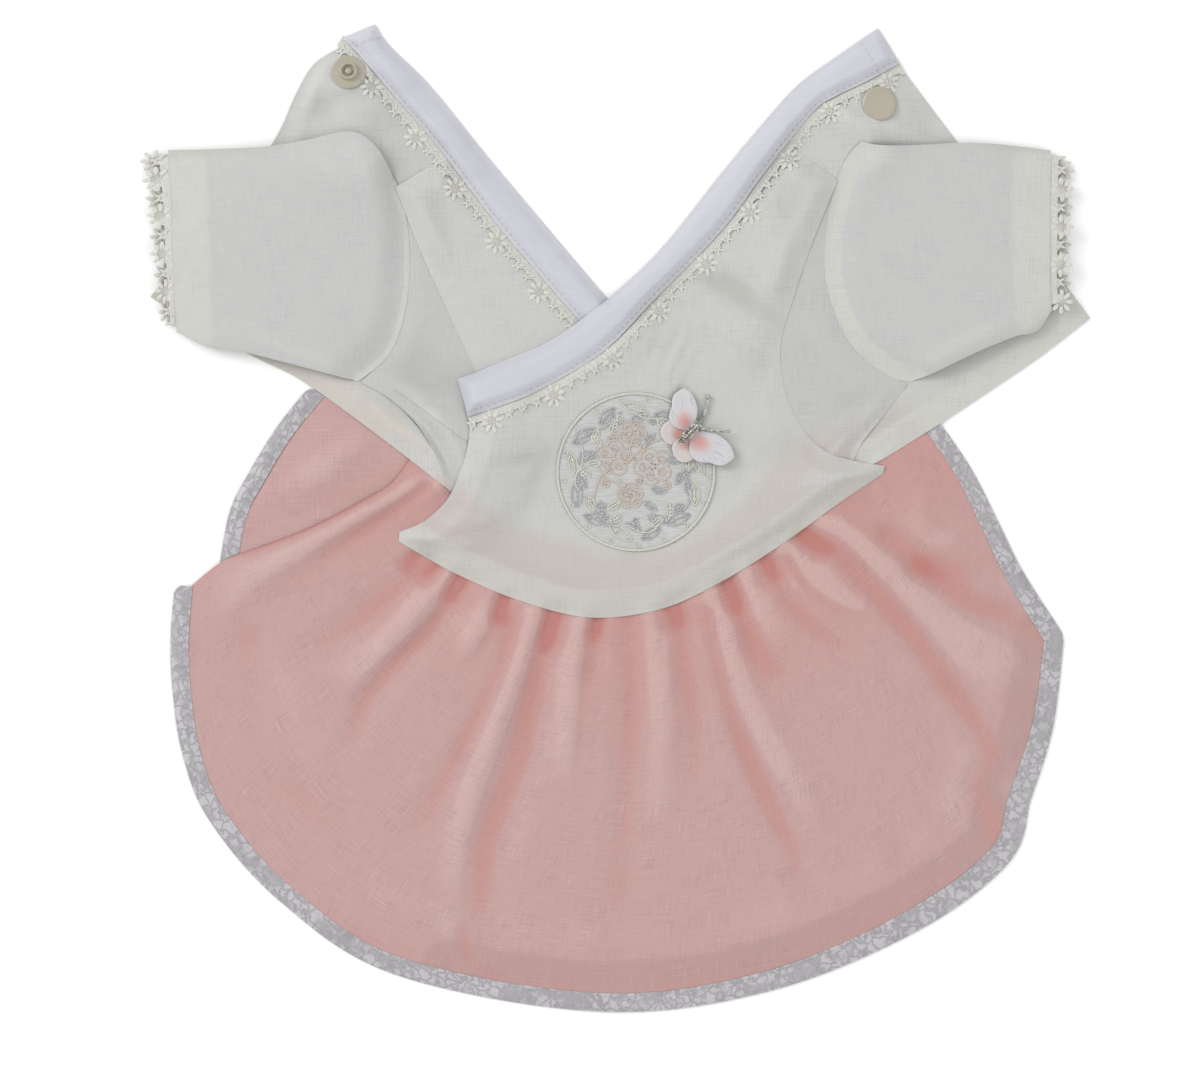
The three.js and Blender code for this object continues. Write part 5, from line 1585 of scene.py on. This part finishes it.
FEELERS = {"left": [[2.9, 2.6], [4.3, 4.8], [5.7, 7.7], [6.4, 10.5], [6.9, 13]],
           "right": [[3.6, 2.4], [5.7, 1.4], [9.6, 0.8], [13.8, 0.6]]}
for side, marks in FEELERS.items():
    line = smooth_line(np.array(marks) + BUTTERFLY)
    points = evenly(line, int(length_of(line) / 0.8))
    base = float(laid.read(points).max())
    beads = joined(*[moved(bead, *p, base + 0.5, random.random(), (0.56, 0.5, 0.52)) for p in points],
                   moved(bead, *points[-1], base + 0.6, 0, (0.8, 0.75, 0.6)))
    feeler = made(f"feeler_{side}", beads, silver)
    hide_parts(f"butterfly_antenna_{side}")
print("beads in the body:", len(body_beads))

# %% [markdown]
# ## What each sheet was cut to
# A sheet is only right if it could have been cut and sewn: its area as it lies must be about the area of its
# flat cut. Half the surface of a thin shell is the cloth in it. The strips of the collar, the hem and the lace are
# given by what shows of them; their allowances are turned under.

# %% The flat cuts
def cloth_area(obj):
    return sum(p.area for p in obj.data.polygons) / 2


CUTS = [  # piece, flat width and length and area in millimetres, how it is held, what it lies on, what goes with it
    (skirt_side, 72, 56, 2600, "folded", [], []),
    (band_side, 76, 10, 560, "folded", [skirt_side], []),
    (skirt, 550, 150, 54000, "gathered", [skirt_side, band_side], [band_stitches]),
    (band, 560, 10, 4200, "folded", [skirt], []),
    (belly_left, 165, 110, 7800, "laid", [skirt_side, skirt], []),
    (belly_right, 150, 112, 7900, "laid", [skirt], []),
    (yoke, 195, 150, 16600, "laid", [belly_left, belly_right], []),
    (sleeve_left, 165, 82, 12700, "laid", [yoke, belly_left], []),
    (sleeve_right, 155, 80, 11800, "laid", [yoke, belly_right], []),
    (panel_under, 100, 98, 4000, "laid", [yoke], []),
    (left_collar[0], 150, 16, 2150, "folded", [panel_under, belly_left], list(left_collar[3:])),
    (left_collar[1], 142, 10, 800, "laid", [panel_under], [left_collar[2]]),
    (panel_over, 175, 170, 14200, "laid", [yoke, panel_under], []),
    (right_collar[0], 205, 18, 3300, "folded", [panel_over, belly_right], list(right_collar[3:])),
    (right_collar[1], 204, 10, 1200, "laid", [panel_over], [right_collar[2]]),
    (patch, 56, 56, 2480, "laid", [panel_over], patch_sewing),
    (wings[0], 10, 10, 75, "laid", [patch], []),
    (wings[1], 10, 10, 80, "laid", [patch], []),
    (wings[2], 15, 11, 125, "laid", [patch], []),
    (wings[3], 17, 12, 160, "laid", [patch], []),
]
CUFF_LACE_CUTS = ((sleeve_left, 61), (sleeve_left, 61), (sleeve_right, 53), (sleeve_right, 53))
for (net, cords), (sewn_to, long) in zip(cuff_laces, CUFF_LACE_CUTS):
    CUTS.append((net, long, 10, 300, "laid", [sewn_to], [cords]))
for piece, wide, long, area, held, under, along in CUTS:
    print(f"{piece.name}: cut {area} mm2, lies over {cloth_area(piece) * 1e6:.0f} mm2")

# %% [markdown]
# ## Table and light
# White cloth on a white table needs soft light from two sides, and a bright room. The key light comes from the
# left, so the gathers have their shade on the right. The table lies a hair below the garment.

# %% Floor and light (kept last in the file)
TABLE_REACH, TABLE_TOP = 3, -0.0005
CORNERS = [(x * TABLE_REACH, y * TABLE_REACH, TABLE_TOP) for x, y in ((-1, -1), (1, -1), (1, 1), (-1, 1))]

floor_mesh = bpy.data.meshes.new("table")
floor_mesh.from_pydata(CORNERS, [], [(0, 1, 2, 3)])
table = bpy.data.objects.new("table", floor_mesh)
bpy.context.scene.collection.objects.link(table)
table_finish = Finish("white table", roughness=0.9)
table_finish.shader.inputs["Base Color"].default_value = (0.9, 0.9, 0.9, 1)
paint(table, table_finish)


def soft_box(name, place, size, power):
    """A round lamp, in metres and watts, that shines on the garment's middle."""
    data = bpy.data.lights.new(name, "AREA")
    data.shape, data.size, data.energy = "DISK", size, power
    lamp = bpy.data.objects.new(name, data)
    lamp.location = place
    lamp.rotation_euler = (-Vector(place)).to_track_quat("-Z", "Y").to_euler()
    bpy.context.scene.collection.objects.link(lamp)


soft_box("key", (-1.5, 0.9, 1.2), 1.2, 22)
soft_box("fill", (1.4, -0.8, 1.6), 1.6, 12)
world = bpy.data.worlds.new("room")
world.use_nodes = True
world.node_tree.nodes["Background"].inputs["Color"].default_value = (1, 1, 1, 1)
world.node_tree.nodes["Background"].inputs["Strength"].default_value = 0.83
bpy.context.scene.world = world
bpy.context.scene.view_settings.view_transform = "Standard"
